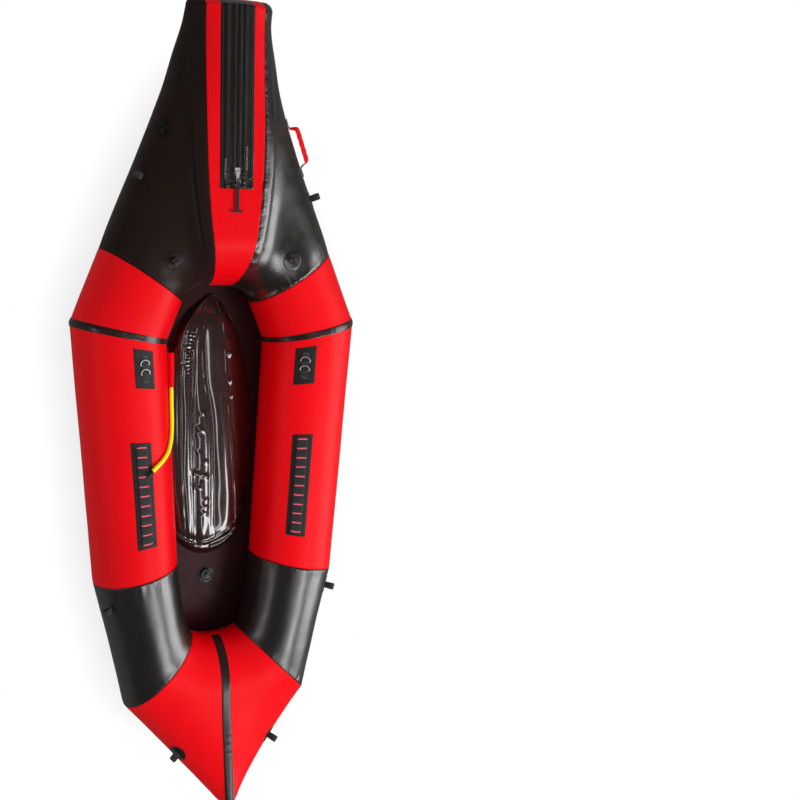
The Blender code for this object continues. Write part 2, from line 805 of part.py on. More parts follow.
def station_at_x(x, turn):
    """The bow station whose point at this turn is x off the middle."""
    low, high = AT_BOW_SEAM, AT_BOW
    for _ in range(BISECTIONS):
        middle = (low + high) / 2
        if smooth_point(1, middle, turn).x > x:
            low = middle
        else:
            high = middle
    return low


def turn_at_y(y):
    """The turn of the bow's middle line at y, on the keel side."""
    low, high = 187.0, 270.0
    for _ in range(BISECTIONS):
        turn = (low + high) / 2
        if smooth_point(1, AT_BOW, turn).y < y:
            low = turn
        else:
            high = turn
    return low


def make_bow_tape(black):
    last = turn_at_y(BELLY_MIDDLE)
    turns = [t for t in ring_turns if 7 < t < last - 3] + [last - 1]
    rows = {0: [], 1: []}
    for level in rows:
        lift = SEAM_GAP + TAPE * (1 - level)
        for turn in turns:
            edge = station_at_x(BOW_TAPE_WIDTH / 2, turn)
            rows[level].append([hull_point(1, edge, turn, lift), hull_point(1, AT_BOW, turn, lift),
                                hull_point(-1, edge, turn, lift)])
    sheet_body("bow_center_tape", rows[0], rows[1], black)


def attach_x(y):
    """Half the floor's width between the tubes at y."""
    points = [smooth_point(1, s, SHEET_INNER_TURN) for s in floor_stations]
    for near, far in zip(points, points[1:]):
        if far.y <= y <= near.y and near.y > far.y:
            return mix(near.x, far.x, (near.y - y) / (near.y - far.y))
    return points[0].x


floor_level = smooth_point(1, AT_QUARTER, SHEET_INNER_TURN).z


def mat_half_width(y, inset):
    middle = (MAT_REAR + MAT_FRONT) / 2
    reach = (MAT_REAR - MAT_FRONT) / 2 - inset
    share = min(abs(y - middle) / reach, 1.0)
    power = mat_rear_power if y > middle else mat_front_power
    return (attach_x(y) - MAT_INSET - inset) * (1 - share ** power) ** (1 / power)


def mat_rows(inset, count):
    """Places along the mat, closer together towards its round ends."""
    middle = (MAT_REAR + MAT_FRONT) / 2
    reach = (MAT_REAR - MAT_FRONT) / 2 - inset
    angles = between(math.radians(mat_end_angle), math.radians(180 - mat_end_angle), count)
    return [middle + reach * math.cos(a) for a in angles]


def laid_sheet(name, stations, turns, black):
    """A sheet under the hull, from one edge turn to the other side's, straight across between the tubes."""
    bm = bmesh.new()
    levels = []
    for lift in (SEAM_GAP, SEAM_GAP + SHEET):
        grid = []
        for station in stations:
            right = [hull_point(1, station, t, lift) for t in turns]
            left = [hull_point(-1, station, t, lift) for t in reversed(turns)]
            grid.append([bm.verts.new(p) for p in right + left])
        levels.append(grid)
    upper, lower = levels
    last = len(upper[0]) - 1
    for grid in levels:
        for near, far in zip(grid, grid[1:]):
            for j in range(last):
                bm.faces.new((near[j], near[j + 1], far[j + 1], far[j]))
    for i in range(len(stations) - 1):
        for j in (0, last):
            bm.faces.new((upper[i][j], upper[i + 1][j], lower[i + 1][j], lower[i][j]))
    for end, station in ((0, stations[0]), (-1, stations[-1])):
        if 0.0 < station < AT_BOW:
            for j in range(last):
                bm.faces.new((upper[end][j], upper[end][j + 1], lower[end][j + 1], lower[end][j]))
    bmesh.ops.remove_doubles(bm, verts=bm.verts, dist=MERGE)
    return add_object(name, finish_mesh(name, bm), black)


def curved_outline(middle, sweep, far):
    """An outline in plan between a parabola across the hull and a straight edge beyond it."""
    xs = between(-half_width, half_width, curve_steps)
    curve = [(x, middle + sweep * (x / CURVE_SPAN) ** 2) for x in xs]
    return curve + [(half_width, far), (-half_width, far)]


def make_floor(black):
    turns = [t for t in keel_turns if SHEET_OUTER_TURN <= t <= SHEET_INNER_TURN]
    sheet = laid_sheet("floor_sheet", floor_stations, turns, black)
    world = Matrix.Identity(4)
    rear = curved_outline(SHEET_REAR, -SHEET_REAR_SWEEP, half_length + CUT_REACH)
    front_length = half_length + SHEET_FRONT + CUT_REACH
    front = rectangle(HULL_WIDTH, front_length, 0.0, SHEET_FRONT - front_length / 2)
    holes = [prism("rear", world, rear, -CUT_REACH, TUBE_DIAMETER, black),
             prism("front", world, front, -CUT_REACH, TUBE_DIAMETER, black)]
    low, high = floor_level - CUT_REACH, floor_level + CUT_REACH
    for i in range(DRAINS_A_SIDE):
        y = DRAIN_REAR - DRAIN_PITCH * i
        for side in (1, -1):
            outline = round_outline(DRAIN_DIAMETER / 2, side * (attach_x(y) - DRAIN_INSET), y, drain_sides)
            holes.append(prism("hole", world, outline, low, high, black))
    clear = MAT_FLANGE - MAT_OPENING_GAP
    ys = mat_rows(clear, mat_cut_rows)
    side = [(mat_half_width(y, clear), y) for y in ys]
    opening = [(0.0, MAT_REAR - clear)] + side + [(0.0, MAT_FRONT + clear)]
    opening += [(-x, y) for x, y in reversed(side)]
    holes.append(prism("hole", world, opening, low, high, black))
    apply_boolean(sheet, joined_prisms("floor_cutter", holes, black), "DIFFERENCE")
    make_belly(black)


def make_belly(black):
    stations = [AT_BOW_SEAM + belly_seam_share] + bow_stations[1:]
    turns = [t for t in keel_turns if BELLY_OUTER_TURN <= t <= SHEET_INNER_TURN]
    belly = laid_sheet("bow_belly_panel", stations, turns, black)
    world = Matrix.Identity(4)
    front = curved_outline(BELLY_MIDDLE, BELLY_SWEEP, -half_length - CUT_REACH)
    rear = SHEET_FRONT - SEAM_GAP
    behind = rectangle(HULL_WIDTH, half_length, 0.0, rear + half_length / 2)
    ends = [prism("front", world, front, -CUT_REACH, TUBE_DIAMETER, black),
            prism("behind", world, behind, -CUT_REACH, TUBE_DIAMETER, black)]
    apply_boolean(belly, joined_prisms("belly_cutter", ends, black), "DIFFERENCE")


def mat_section(y, body_half):
    """Across the mat: place as a share of half its width, height above the flange, depth below it."""
    rear = min((MAT_REAR - MAT_FLANGE - y) / MAT_SHOULDER, 1.0)
    front = min((y - MAT_FRONT - MAT_PAD_LENGTH) / MAT_SHOULDER, 1.0)
    fullness = math.sqrt(max(1 - (1 - min(rear, front)) ** 2, 0.0)) if min(rear, front) > 0 else 0.0
    rows = []
    steps = MAT_CHANNELS * mat_steps
    for i in range(steps + 1):
        share = 2 * i / steps - 1
        in_channel = abs(math.sin(math.pi * i / mat_steps))
        crown = math.sqrt(max(1 - abs(share) ** mat_crown_power, 0.0))
        top = fullness * (MAT_RAISE * crown - MAT_SEAM_DEPTH * (1 - in_channel) * (abs(share) < 1))
        rows.append((share, max(top, 0.0), fullness * crown))
    return rows


def make_mat(black):
    flange_bottom = floor_level
    flange_top = flange_bottom + MAT_FLANGE_THICKNESS
    rows, wall_rows = [], []
    ys = mat_rows(0.0, 2)[:1] + mat_rows(MAT_FLANGE, mat_row_count) + mat_rows(0.0, 2)[-1:]
    for y in ys:
        edge = mat_half_width(y, 0.0)
        inside = MAT_FRONT + MAT_FLANGE < y < MAT_REAR - MAT_FLANGE
        body = mat_half_width(y, MAT_FLANGE) if inside else edge * mat_end_share
        from_end = min(y - MAT_FRONT, MAT_REAR - y) - MAT_FLANGE
        drop = MAT_DROP * ease(from_end / MAT_FLANGE - drop_start_share)
        top, bottom = [(-edge, flange_top)], [(-edge, flange_bottom)]
        for share, raised, crown in mat_section(y, body):
            x = body * share
            side_drop = drop * (1 - abs(share) ** mat_drop_power)
            top.append((x, flange_top + raised))
            bottom.append((x, flange_bottom - side_drop))
        top.append((edge, flange_top))
        bottom.append((edge, flange_bottom))
        rows.append([Vector((x, y, z)) for x, z in top])
        wall_rows.append([Vector((x, y, z)) for x, z in bottom])
    mat = sheet_body("floor_mat", rows, wall_rows, black)
    return mat


def make_zipper(red, black, metal, strip):
    slope = math.atan2(top_rise(ZIP_REAR) - top_rise(ZIP_FRONT), ZIP_REAR - ZIP_FRONT)
    frame = Matrix.Translation((0, SLIDER_REST, zip_height(SLIDER_REST))) @ Matrix.Rotation(slope, 4, "X")
    length = ZIP_REAR - ZIP_FRONT - 2 * ZIP_SLOT_INSET
    centre = (ZIP_REAR + ZIP_FRONT) / 2 - SLIDER_REST
    slot_outline = rectangle(ZIP_SLOT_WIDTH, length, 0.0, centre)
    slot = prism("slot_cutter", frame, slot_outline, -CUT_REACH, CUT_REACH, black)
    apply_boolean(strip, slot, "DIFFERENCE")
    level = FIT_GAP
    edge = ZIP_TAPE_WIDTH / 2
    tape = top_strip("zipper_tape", -edge, edge, ZIP_FRONT, ZIP_REAR, level, SHEET, black)
    slit_outline = rectangle(ZIP_SLIT_WIDTH, length, 0.0, centre)
    slit = prism("slit_cutter", frame, slit_outline, -CUT_REACH, CUT_REACH, black)
    apply_boolean(tape, slit, "DIFFERENCE")
    level += SHEET + SEAM_GAP
    first, last = ZIP_FRONT + ZIP_SLOT_INSET, ZIP_REAR - ZIP_SLOT_INSET
    near = ZIP_SLIT_WIDTH / 2 + FIT_GAP / 2
    top_strip("zipper_rail_right", near, near + ZIP_RAIL_WIDTH, first, last, level, ZIP_RAIL_HEIGHT, black)
    top_strip("zipper_rail_left", -near - ZIP_RAIL_WIDTH, -near, first, last, level, ZIP_RAIL_HEIGHT, black)
    top_strip("zipper_end_patch", -edge, edge, ZIP_FRONT, first - SLIDER_PLATE, level, SHEET, black)
    make_slider(frame, level, near + ZIP_RAIL_WIDTH, metal)
    make_puller(frame, level, black, metal)


def zip_height(y):
    return TUBE_DIAMETER + STERN_FULLNESS + top_rise(y)


def zip_turn(y):
    """The turn of the stern's middle line at y."""
    share = (y - rear_middle.y) / (half_length - rear_middle.y)
    span = half_length - rear_middle.y
    return math.degrees(math.acos((STERN_CREST_DEPTH - share * span) / (span - STERN_CREST_DEPTH)))


def strip_place(x, turn):
    """Side and station on the red strip at x."""
    low, high = 0.0, STRIP_EDGE
    for _ in range(BISECTIONS):
        middle = (low + high) / 2
        if smooth_point(1, middle, turn).x < abs(x):
            low = middle
        else:
            high = middle
    return (1 if x >= 0 else -1), low


def top_strip(name, left, right, front, rear, lift, thickness, material):
    """A strip on the stern's top, between two x and two y, which bends where the hull does."""
    turns = lined_turns(zip_turn(front), zip_turn(rear))
    rows, wall_rows = [], []
    for turn in turns:
        lines = [i * STERN_STRIP_WIDTH / 6 for i in (-2, -1, 0, 1, 2)]
        xs = [left] + [x for x in lines if left + MERGE < x < right - MERGE] + [right]
        for target, height in ((rows, lift + thickness), (wall_rows, lift)):
            places = [strip_place(x, turn) for x in xs]
            target.append([hull_point(side, station, turn, height) for side, station in places])
    return sheet_body(name, rows, wall_rows, material)


def set_origin(obj, frame):
    """Put a moving piece's origin on its joint's axis, without moving the piece."""
    obj.data.transform(frame.inverted())
    obj.matrix_world = frame


def make_slider(frame, level, rail_reach, metal):
    """Two plates joined by a post through the slit, flanges outside the rails, and ears with a pin."""
    plate_bottom = level + ZIP_RAIL_HEIGHT + CLEARANCE
    plate_top = plate_bottom + SLIDER_PLATE
    plate_middle = plate_bottom + SLIDER_PLATE / 2
    half = SLIDER_LENGTH / 2
    nose = SLIDER_WIDTH * slider_nose_share
    outline = [(-nose / 2, -half), (nose / 2, -half), (SLIDER_WIDTH / 2, -half / 3),
               (SLIDER_WIDTH / 2, half), (-SLIDER_WIDTH / 2, half), (-SLIDER_WIDTH / 2, -half / 3)]
    slider = prism("zipper_slider", frame, outline, plate_bottom, plate_top, metal)
    lower_top = FIT_GAP - SLIDER_LOWER_GAP
    lower_outline = rectangle(SLIDER_WIDTH * lower_plate_share, SLIDER_LENGTH * lower_plate_share)
    post_outline = rectangle(SLIDER_POST_WIDTH, SLIDER_LENGTH * post_share)
    pieces = [prism("slider_lower", frame, lower_outline, lower_top - SLIDER_PLATE, lower_top, metal),
              prism("slider_post", frame, post_outline, lower_top - SLIDER_PLATE / 2, plate_middle, metal)]
    inner = rail_reach + CLEARANCE
    flange = SLIDER_WIDTH / 2 - inner
    ear_place = (PULLER_WIDTH + SLIDER_EAR_THICKNESS + 2 * CLEARANCE) / 2
    for side in (1, -1):
        flange_outline = rectangle(flange, half, side * (inner + flange / 2), half / 2)
        pieces.append(prism("slider_flange", frame, flange_outline, level + CLEARANCE, plate_middle, metal))
        ear = rectangle(SLIDER_EAR_THICKNESS, SLIDER_LENGTH * ear_share, side * ear_place, 0.0)
        pieces.append(prism("slider_ear", frame, ear, plate_middle, plate_top + SLIDER_EAR_HEIGHT, metal))
    across = puller_pivot(frame, level) @ Matrix.Rotation(math.radians(90), 4, "Y")
    pieces.append(prism("slider_pin", across, round_outline(PIN_DIAMETER / 2), -ear_place, ear_place, metal))
    for piece in pieces:
        apply_boolean(slider, piece, "UNION")
    set_origin(slider, frame)


def puller_pivot(frame, level):
    plate_top = level + ZIP_RAIL_HEIGHT + CLEARANCE + SLIDER_PLATE
    pivot = frame @ Matrix.Translation((0, 0, plate_top + SLIDER_EAR_HEIGHT / 2 + CLEARANCE))
    return pivot @ Matrix.Rotation(math.radians(PULLER_TILT), 4, "X")


def make_puller(frame, level, black, metal):
    """The metal tab that turns on the slider's pin, with the pull strap and its bar behind it."""
    pivot = puller_pivot(frame, level)
    across = pivot @ Matrix.Rotation(math.radians(90), 4, "Y")
    t = PULLER_THICKNESS / 2
    half = PULLER_WIDTH / 2
    outline = rectangle(PULLER_WIDTH, PULLER_LENGTH, 0.0, -PULLER_LENGTH / 2)
    tab = prism("zipper_puller", pivot, outline, -t, t, metal)
    barrel = prism("puller_barrel", across, round_outline(BARREL_DIAMETER / 2), -half, half, metal)
    apply_boolean(tab, barrel, "UNION")
    bore = round_outline(PIN_DIAMETER / 2 + CLEARANCE)
    apply_boolean(tab, prism("puller_bore", across, bore, -CUT_REACH, CUT_REACH, metal), "DIFFERENCE")
    slot_y = -PULLER_LENGTH * puller_slot_place_share
    slot = rectangle(PULLER_WIDTH * puller_slot_share, STRAP_THICKNESS * 2, 0.0, slot_y)
    apply_boolean(tab, prism("puller_slot", pivot, slot, -CUT_REACH, CUT_REACH, metal), "DIFFERENCE")
    set_origin(tab, pivot)
    set_origin(make_pull_strap(pivot, slot_y, black), pivot)


def make_pull_strap(pivot, slot_y, black):
    """Webbing looped through the tab's slot, ending in a bar."""
    slot_width = PULLER_WIDTH * puller_slot_share - 2 * CLEARANCE
    loop = STRAP_THICKNESS - CLEARANCE
    rise = PULLER_THICKNESS / 2 + CLEARANCE
    back = -PULLER_LENGTH - CLEARANCE
    far = slot_y - STRAP_LENGTH
    front_end, rear_end = slot_y + loop / 2, back - STRAP_THICKNESS
    leg = rectangle(slot_width, front_end - rear_end, 0.0, (front_end + rear_end) / 2)
    strap = prism("zipper_pull_strap", pivot, leg, rise, rise + loop, black)
    through = rectangle(slot_width, loop, 0.0, slot_y)
    tail = rectangle(STRAP_WIDTH, back - far, 0.0, (back + far) / 2)
    edge = rise + loop / 2
    bar_frame = pivot @ Matrix.Translation((0, far, 0)) @ Matrix.Rotation(math.radians(90), 4, "Y")
    bar = round_outline(T_BAR_DIAMETER / 2)
    pieces = [prism("strap_lower", pivot, leg, -rise - loop, -rise, black),
              prism("strap_through", pivot, through, -edge, edge, black),
              prism("strap_tail", pivot, tail, -edge, edge, black),
              prism("strap_bar", bar_frame, bar, -T_BAR_LENGTH / 2, T_BAR_LENGTH / 2, black)]
    for piece in pieces:
        apply_boolean(strap, piece, "UNION")
    return strap


def make_valve(name, frame, place, black, grey):
    """Base welded to the skin, insert with its one-way flap, cap and leash. Heights are above the skin."""
    flange = VALVE_LIFT + FLANGE_THICKNESS
    bore, collar = VALVE_BORE / 2, COLLAR_DIAMETER / 2
    base = [(r, VALVE_LIFT, "laid") for r in between(bore, FLANGE_DIAMETER / 2, 3)]
    base += [(r, flange, "laid") for r in between(FLANGE_DIAMETER / 2, collar, 2)]
    base += [(collar, COLLAR_HEIGHT, ""), (bore, COLLAR_HEIGHT, "")]
    turned_body(f"{name}_base", frame, base, black, True, place)
    stem = bore - CLEARANCE
    lip_bottom = COLLAR_HEIGHT + SEAM_GAP
    lip_top = lip_bottom + INSERT_LIP
    ledge = -INSERT_DEPTH + LEDGE_HEIGHT + FLAP_THICKNESS + 2 * SEAM_GAP
    insert = [(stem, -INSERT_DEPTH, ""), (stem, lip_bottom, ""), (collar - CLEARANCE, lip_bottom, ""),
              (collar - CLEARANCE, lip_top, ""), (INSERT_BORE / 2, lip_top, ""),
              (INSERT_BORE / 2, ledge + LEDGE_HEIGHT, ""), (LEDGE_BORE / 2, ledge + LEDGE_HEIGHT, ""),
              (LEDGE_BORE / 2, ledge, ""), (INSERT_BORE / 2, ledge, ""),
              (INSERT_BORE / 2, -INSERT_DEPTH, "")]
    turned_body(f"{name}_insert", frame, insert, black, True)
    flap_top = ledge - SEAM_GAP
    flap_radius = INSERT_BORE / 2 - CLEARANCE
    flap = [(0, flap_top, ""), (flap_radius, flap_top, ""), (flap_radius, flap_top - FLAP_THICKNESS, ""),
            (0, flap_top - FLAP_THICKNESS, "")]
    turned_body(f"{name}_flap", frame, flap, grey, False)
    ceiling = lip_top + CLEARANCE
    cap_top = ceiling + CAP_WALL
    foot = flange + CAP_FOOT_GAP
    head_bottom = cap_top + LEASH_THICKNESS + CLEARANCE + SEAM_GAP
    cap_radius = CAP_DIAMETER / 2
    head_top = head_bottom + POST_HEAD_HEIGHT
    cap = [(0, head_top, ""), (POST_HEAD_DIAMETER / 2, head_top, ""),
           (POST_HEAD_DIAMETER / 2, head_bottom, ""), (POST_DIAMETER / 2, head_bottom, ""),
           (POST_DIAMETER / 2, cap_top, ""), (cap_radius - CAP_LOBE_DEPTH, cap_top, ""),
           (cap_radius, cap_top - CAP_LOBE_DEPTH, "lobed"), (cap_radius, foot, "lobed"),
           (collar + CLEARANCE, foot, ""), (collar + CLEARANCE, ceiling, ""), (0, ceiling, "")]
    set_origin(turned_body(f"{name}_cap", frame, cap, black, False, lobes=CAP_LOBES), frame)
    make_leash(name, frame, cap_top + CLEARANCE, flange + CLEARANCE + FIT_GAP, black)


def make_leash(name, frame, eye_level, ring_level, black):
    inner = CAP_DIAMETER / 2 + CLEARANCE
    outer = inner + LEASH_RING_WIDTH
    ring_top = ring_level + LEASH_THICKNESS
    ring = [(inner, ring_level, ""), (outer, ring_level, ""), (outer, ring_top, ""), (inner, ring_top, "")]
    leash = turned_body(f"{name}_leash", frame, ring, black, True)
    eye_inner = POST_DIAMETER / 2 + CLEARANCE
    eye_top = eye_level + LEASH_THICKNESS
    eye = [(eye_inner, eye_level, ""), (eye_inner + LEASH_RING_WIDTH, eye_level, ""),
           (eye_inner + LEASH_RING_WIDTH, eye_top, ""), (eye_inner, eye_top, "")]
    eyelet = turned_body("leash_eyelet", frame, eye, black, True)
    t = LEASH_THICKNESS
    start = eye_inner + LEASH_RING_WIDTH / 2
    path = [(start, eye_top), (inner + t / 2, eye_top), (inner + t + t / 2, eye_top - t),
            (inner + t + t / 2, ring_level + t / 2)]
    under = [(start, eye_level), (inner + t / 4, eye_level), (inner + t / 2, eye_level - t / 4),
             (inner + t / 2, ring_level + t / 2)]
    rows = [[frame @ Vector((x, y, z)) for x, z in path] for y in (-LEASH_WIDTH / 2, LEASH_WIDTH / 2)]
    wall_rows = [[frame @ Vector((x, y, z)) for x, z in under] for y in (-LEASH_WIDTH / 2, LEASH_WIDTH / 2)]
    strap = sheet_body("leash_strap", rows, wall_rows, black)
    apply_boolean(leash, eyelet, "UNION")
    apply_boolean(leash, strap, "UNION")
    set_origin(leash, frame)


def cut_valve_hole(obj, frame, black):
    outline = round_outline(VALVE_BORE / 2 - SEAM_GAP / 2)
    hole = prism("valve_cutter", frame, outline, -INSERT_DEPTH - FIT_GAP, CUT_REACH, black)
    apply_boolean(obj, hole, "DIFFERENCE")


def make_d_rings(black, metal):
    for word, (side, station, turn) in d_patch_place_shares.items():
        half = arc_turns(D_PATCH_WIDTH) / 2
        hull_strip(f"d_patch_{word}", side, station, (turn - half, turn + half), D_PATCH_LENGTH, SEAM_GAP,
                   PATCH_THICKNESS, black)
        level = 2 * SEAM_GAP + PATCH_THICKNESS
        bar_lift = level + D_RING_WIRE / 2 + SEAM_GAP
        over = D_RING_WIRE + 4 * CLEARANCE
        half = arc_turns(D_WEBBING_WIDTH) / 2
        humps = []
        bar_places = []
        for i, sign in enumerate((-1, 1)):
            centre = sign * D_RING_PITCH / 2 + D_RING_WIRE - D_RING_DEPTH / 4
            bar_places.append(centre)
            for share, rise in d_hump_shares:
                humps.append((0.5 + (centre + share * D_RING_WIRE) / D_WEBBING_LENGTH, rise * over))
        hull_strip(f"d_webbing_{word}", side, station, (turn - half, turn + half), D_WEBBING_LENGTH, level,
                   WEBBING_THICKNESS, black, humps)
        frame = laid_frame(side, station, turn)
        for centre, place in zip(bar_places, ("front", "rear")):
            bar = frame @ Matrix.Translation((0, centre, bar_lift))
            tilt = Matrix.Rotation(math.radians(D_RING_TILT), 4, "X")
            make_d_ring(f"d_ring_{word}_{place}", bar @ tilt, metal)


def make_d_ring(name, frame, metal):
    """A bar with a bow, bent from one wire. The bar lies on the frame's X axis."""
    half = D_RING_WIDTH / 2 - D_RING_WIRE / 2
    bend = D_RING_WIRE
    points = [(x, 0.0) for x in between(-half + bend, half - bend, 2)]
    points.append((half - bend * (1 - math.sqrt(0.5)), bend * (1 - math.sqrt(0.5))))
    reach = D_RING_DEPTH - D_RING_WIRE / 2
    points += [(half * math.cos(a), bend + (reach - bend) * math.sin(a))
               for a in between(0.0, math.pi, d_ring_steps)]
    points.append((-half + bend * (1 - math.sqrt(0.5)), bend * (1 - math.sqrt(0.5))))
    route = [frame @ Vector((x, y, 0)) for x, y in points]
    set_origin(wire_object(name, route, D_RING_WIRE, metal, 1, True), frame)


def wire_object(name, points, diameter, material, resolution, cyclic):
    curve = bpy.data.curves.new(name, "CURVE")
    curve.dimensions = "3D"
    curve.bevel_depth = diameter / 2
    curve.bevel_resolution = resolution
    curve.use_fill_caps = not cyclic
    spline = curve.splines.new("POLY")
    spline.points.add(len(points) - 1)
    for slot, point in zip(spline.points, points):
        slot.co = (*point, 1.0)
    spline.use_cyclic_u = cyclic
    spline.use_smooth = True
    obj = bpy.data.objects.new(name, curve)
    bpy.context.scene.collection.objects.link(obj)
    curve.materials.append(material)
    return obj


def make_lacing(black):
    for word, (side, station, turn) in lace_place_shares.items():
        half = arc_turns(LACE_PATCH_WIDTH) / 2
        hull_strip(f"lacing_patch_{word}", side, station, (turn - half, turn + half), LACE_PATCH_LENGTH,
                   FIT_GAP, PATCH_THICKNESS, black)
        humps = []
        for i in range(LACE_LOOPS * lace_steps + 1):
            humps.append((mix(lace_end_share, 1 - lace_end_share, i / (LACE_LOOPS * lace_steps)),
                          LACE_LOOP_HEIGHT * math.sin(math.pi * i / lace_steps) ** 2))
        half = arc_turns(LACE_WEBBING_WIDTH) / 2
        hull_strip(f"lacing_webbing_{word}", side, station, (turn - half, turn + half), LACE_WEBBING_LENGTH,
                   2 * FIT_GAP + PATCH_THICKNESS, WEBBING_THICKNESS, black, humps)


def make_tie_loop(name, frame, skin, black):
    """A round patch with a webbing loop standing on it."""
    bm = bmesh.new()
    grids = []
    for lift in (TIE_PATCH_LIFT + TIE_PATCH_THICKNESS, TIE_PATCH_LIFT):
        centre = bm.verts.new(dropped(skin, frame, 0.0, 0.0, lift))
        rings = []
        for share in tie_ring_shares:
            outline = round_outline(TIE_PATCH_DIAMETER / 2 * share)
            rings.append([bm.verts.new(dropped(skin, frame, x, y, lift)) for x, y in outline])
        grids.append((centre, rings))
    for centre, rings in grids:
        for i in range(ROUND_SIDES):
            k = (i + 1) % ROUND_SIDES
            bm.faces.new((centre, rings[0][i], rings[0][k]))
            for near, far in zip(rings, rings[1:]):
                bm.faces.new((near[i], near[k], far[k], far[i]))
    for i in range(ROUND_SIDES):
        k = (i + 1) % ROUND_SIDES
        bm.faces.new((grids[0][1][-1][i], grids[0][1][-1][k], grids[1][1][-1][k], grids[1][1][-1][i]))
    patch = add_object(name, finish_mesh(name, bm), black)
    loop_path = [(TIE_LOOP_GAP / 2 * x, TIE_LOOP_HEIGHT * z) for x, z in loop_shape_shares]
    seat = frame.inverted() @ dropped(skin, frame, 0.0, 0.0, TIE_PATCH_LIFT + TIE_PATCH_THICKNESS / 2)
    loop_path = [(x, z + seat.z) for x, z in loop_path]
    outer_path = offset_path(loop_path, TIE_LOOP_THICKNESS)
    sides = (-TIE_LOOP_WIDTH / 2, TIE_LOOP_WIDTH / 2)
    rows = [[frame @ Vector((x, y, z)) for x, z in outer_path] for y in sides]
    wall_rows = [[frame @ Vector((x, y, z)) for x, z in loop_path] for y in sides]
    apply_boolean(patch, sheet_body("tie_webbing", rows, wall_rows, black), "UNION")


def offset_path(path, distance):
    """The path moved to its left, square to it."""
    moved = []
    for i, point in enumerate(path):
        before = Vector(path[max(i - 1, 0)])
        after = Vector(path[min(i + 1, len(path) - 1)])
        along = (after - before).normalized()
        moved.append((point[0] - along.y * distance, point[1] + along.x * distance))
    return moved


def make_handle(red, black, skin):
    frame = laid_frame(*handle_place_shares)
    inverse = frame.inverted()
    span = HANDLE_LENGTH / 2
    edge = span - HANDLE_FOOT_LENGTH
    front = (inverse @ dropped(skin, frame, 0.0, -edge, TIE_PATCH_LIFT)).z
    rear = (inverse @ dropped(skin, frame, 0.0, edge, TIE_PATCH_LIFT)).z
    rows, wall_rows = [], []
    for across in (-0.5, -0.25, 0.0, 0.25, 0.5):
        x = HANDLE_WIDTH * across
        path = []
        for share, height in handle_shape_shares:
            y = share * span
            if height == 0:
                path.append((y, (inverse @ dropped(skin, frame, x, y, TIE_PATCH_LIFT)).z))
            else:
                path.append((y, mix(front, rear, (share + 1) / 2) + height * HANDLE_HEIGHT))
        rows.append([frame @ Vector((x, y, z)) for y, z in offset_path(path, HANDLE_THICKNESS)])
        wall_rows.append([frame @ Vector((x, y, z)) for y, z in path])
    sheet_body("grab_handle_strap", rows, wall_rows, black)
    make_handle_sleeve(frame, (front + rear) / 2 + HANDLE_HEIGHT, (rear - front) / 2 / span, red)


def make_handle_sleeve(frame, level, slope, red):
    """A flat red tube over the middle of the handle's webbing."""
    rows, wall_rows = [], []
    for y in (-SLEEVE_LENGTH / 2, SLEEVE_LENGTH / 2):
        for target, grow in ((rows, CLEARANCE + SLEEVE_THICKNESS), (wall_rows, CLEARANCE)):
            half = HANDLE_WIDTH / 2 + grow
            low, high = level - grow + y * slope, level + HANDLE_THICKNESS + grow + y * slope
            corners = [(-half, low), (half, low), (half, high), (-half, high)]
            target.append([frame @ Vector((x, y, z)) for x, z in corners])
    sheet_body("grab_handle_sleeve", rows, wall_rows, red, closed=True)


def smooth_route(route, spacing):
    """Points at an even spacing along a smooth curve through the route's own points."""
    steps = route_steps * len(route)
    fine = [smooth_through(route, i / steps) for i in range(steps + 1)]
    lengths = [0.0]
    for near, far in zip(fine, fine[1:]):
        lengths.append(lengths[-1] + (far - near).length)
    count = max(round(lengths[-1] / spacing), 2)
    even = []
    index = 0
    for i in range(count + 1):
        target = lengths[-1] * i / count
        while index < len(fine) - 2 and lengths[index + 1] < target:
            index += 1
        share = (target - lengths[index]) / max(lengths[index + 1] - lengths[index], MERGE)
        even.append(mix(fine[index], fine[index + 1], min(share, 1.0)))
    return even


def make_hose(red, yellow, black):
    sleeve_route = [hull_point(-1, s, t, h * HOSE_SLEEVE_DIAMETER) for s, t, h in sleeve_route_shares]
    sleeve_points = smooth_route(sleeve_route, HOSE_SLEEVE_DIAMETER / 2)
    sleeve = wire_object("hose_sleeve", sleeve_points, HOSE_SLEEVE_DIAMETER, red, 3, False)
    end_share = (HOSE_DIAMETER + 2 * SLEEVE_THICKNESS) / HOSE_SLEEVE_DIAMETER
    spline = sleeve.data.splines[0]
    for i, point in enumerate(spline.points):
        point.radius = mix(1.0, end_share, i / (len(spline.points) - 1))
    hose_route = [hull_point(-1, s, t, h * HOSE_DIAMETER) for s, t, h in hose_route_shares]
    hose_points = smooth_route(hose_route, HOSE_DIAMETER * 2)
    wire_object("inflation_hose", hose_points, HOSE_DIAMETER, yellow, 4, False)
    along = (hose_points[-1] - hose_points[-2]).normalized()
    side_axis = along.cross(Vector((0, 0, 1))).normalized()
    frame = Matrix((side_axis, along.cross(side_axis), along)).transposed().to_4x4()
    frame.translation = hose_points[-1] + along * SEAM_GAP
    wide, narrow = HOSE_DIAMETER / 2, MOUTHPIECE_DIAMETER / 2
    profile = [(0, 0, ""), (wide, 0, ""), (wide, MOUTHPIECE_LENGTH * collar_share, ""),
               (narrow, MOUTHPIECE_LENGTH * collar_share, ""), (narrow * tip_share, MOUTHPIECE_LENGTH, ""),
               (0, MOUTHPIECE_LENGTH, "")]
    turned_body("hose_mouthpiece", frame, profile, black, False)


def floor_valve_frame():
    return Matrix.Translation((FLOOR_VALVE_X, FLOOR_VALVE_Y, floor_level + MAT_FLANGE_THICKNESS))


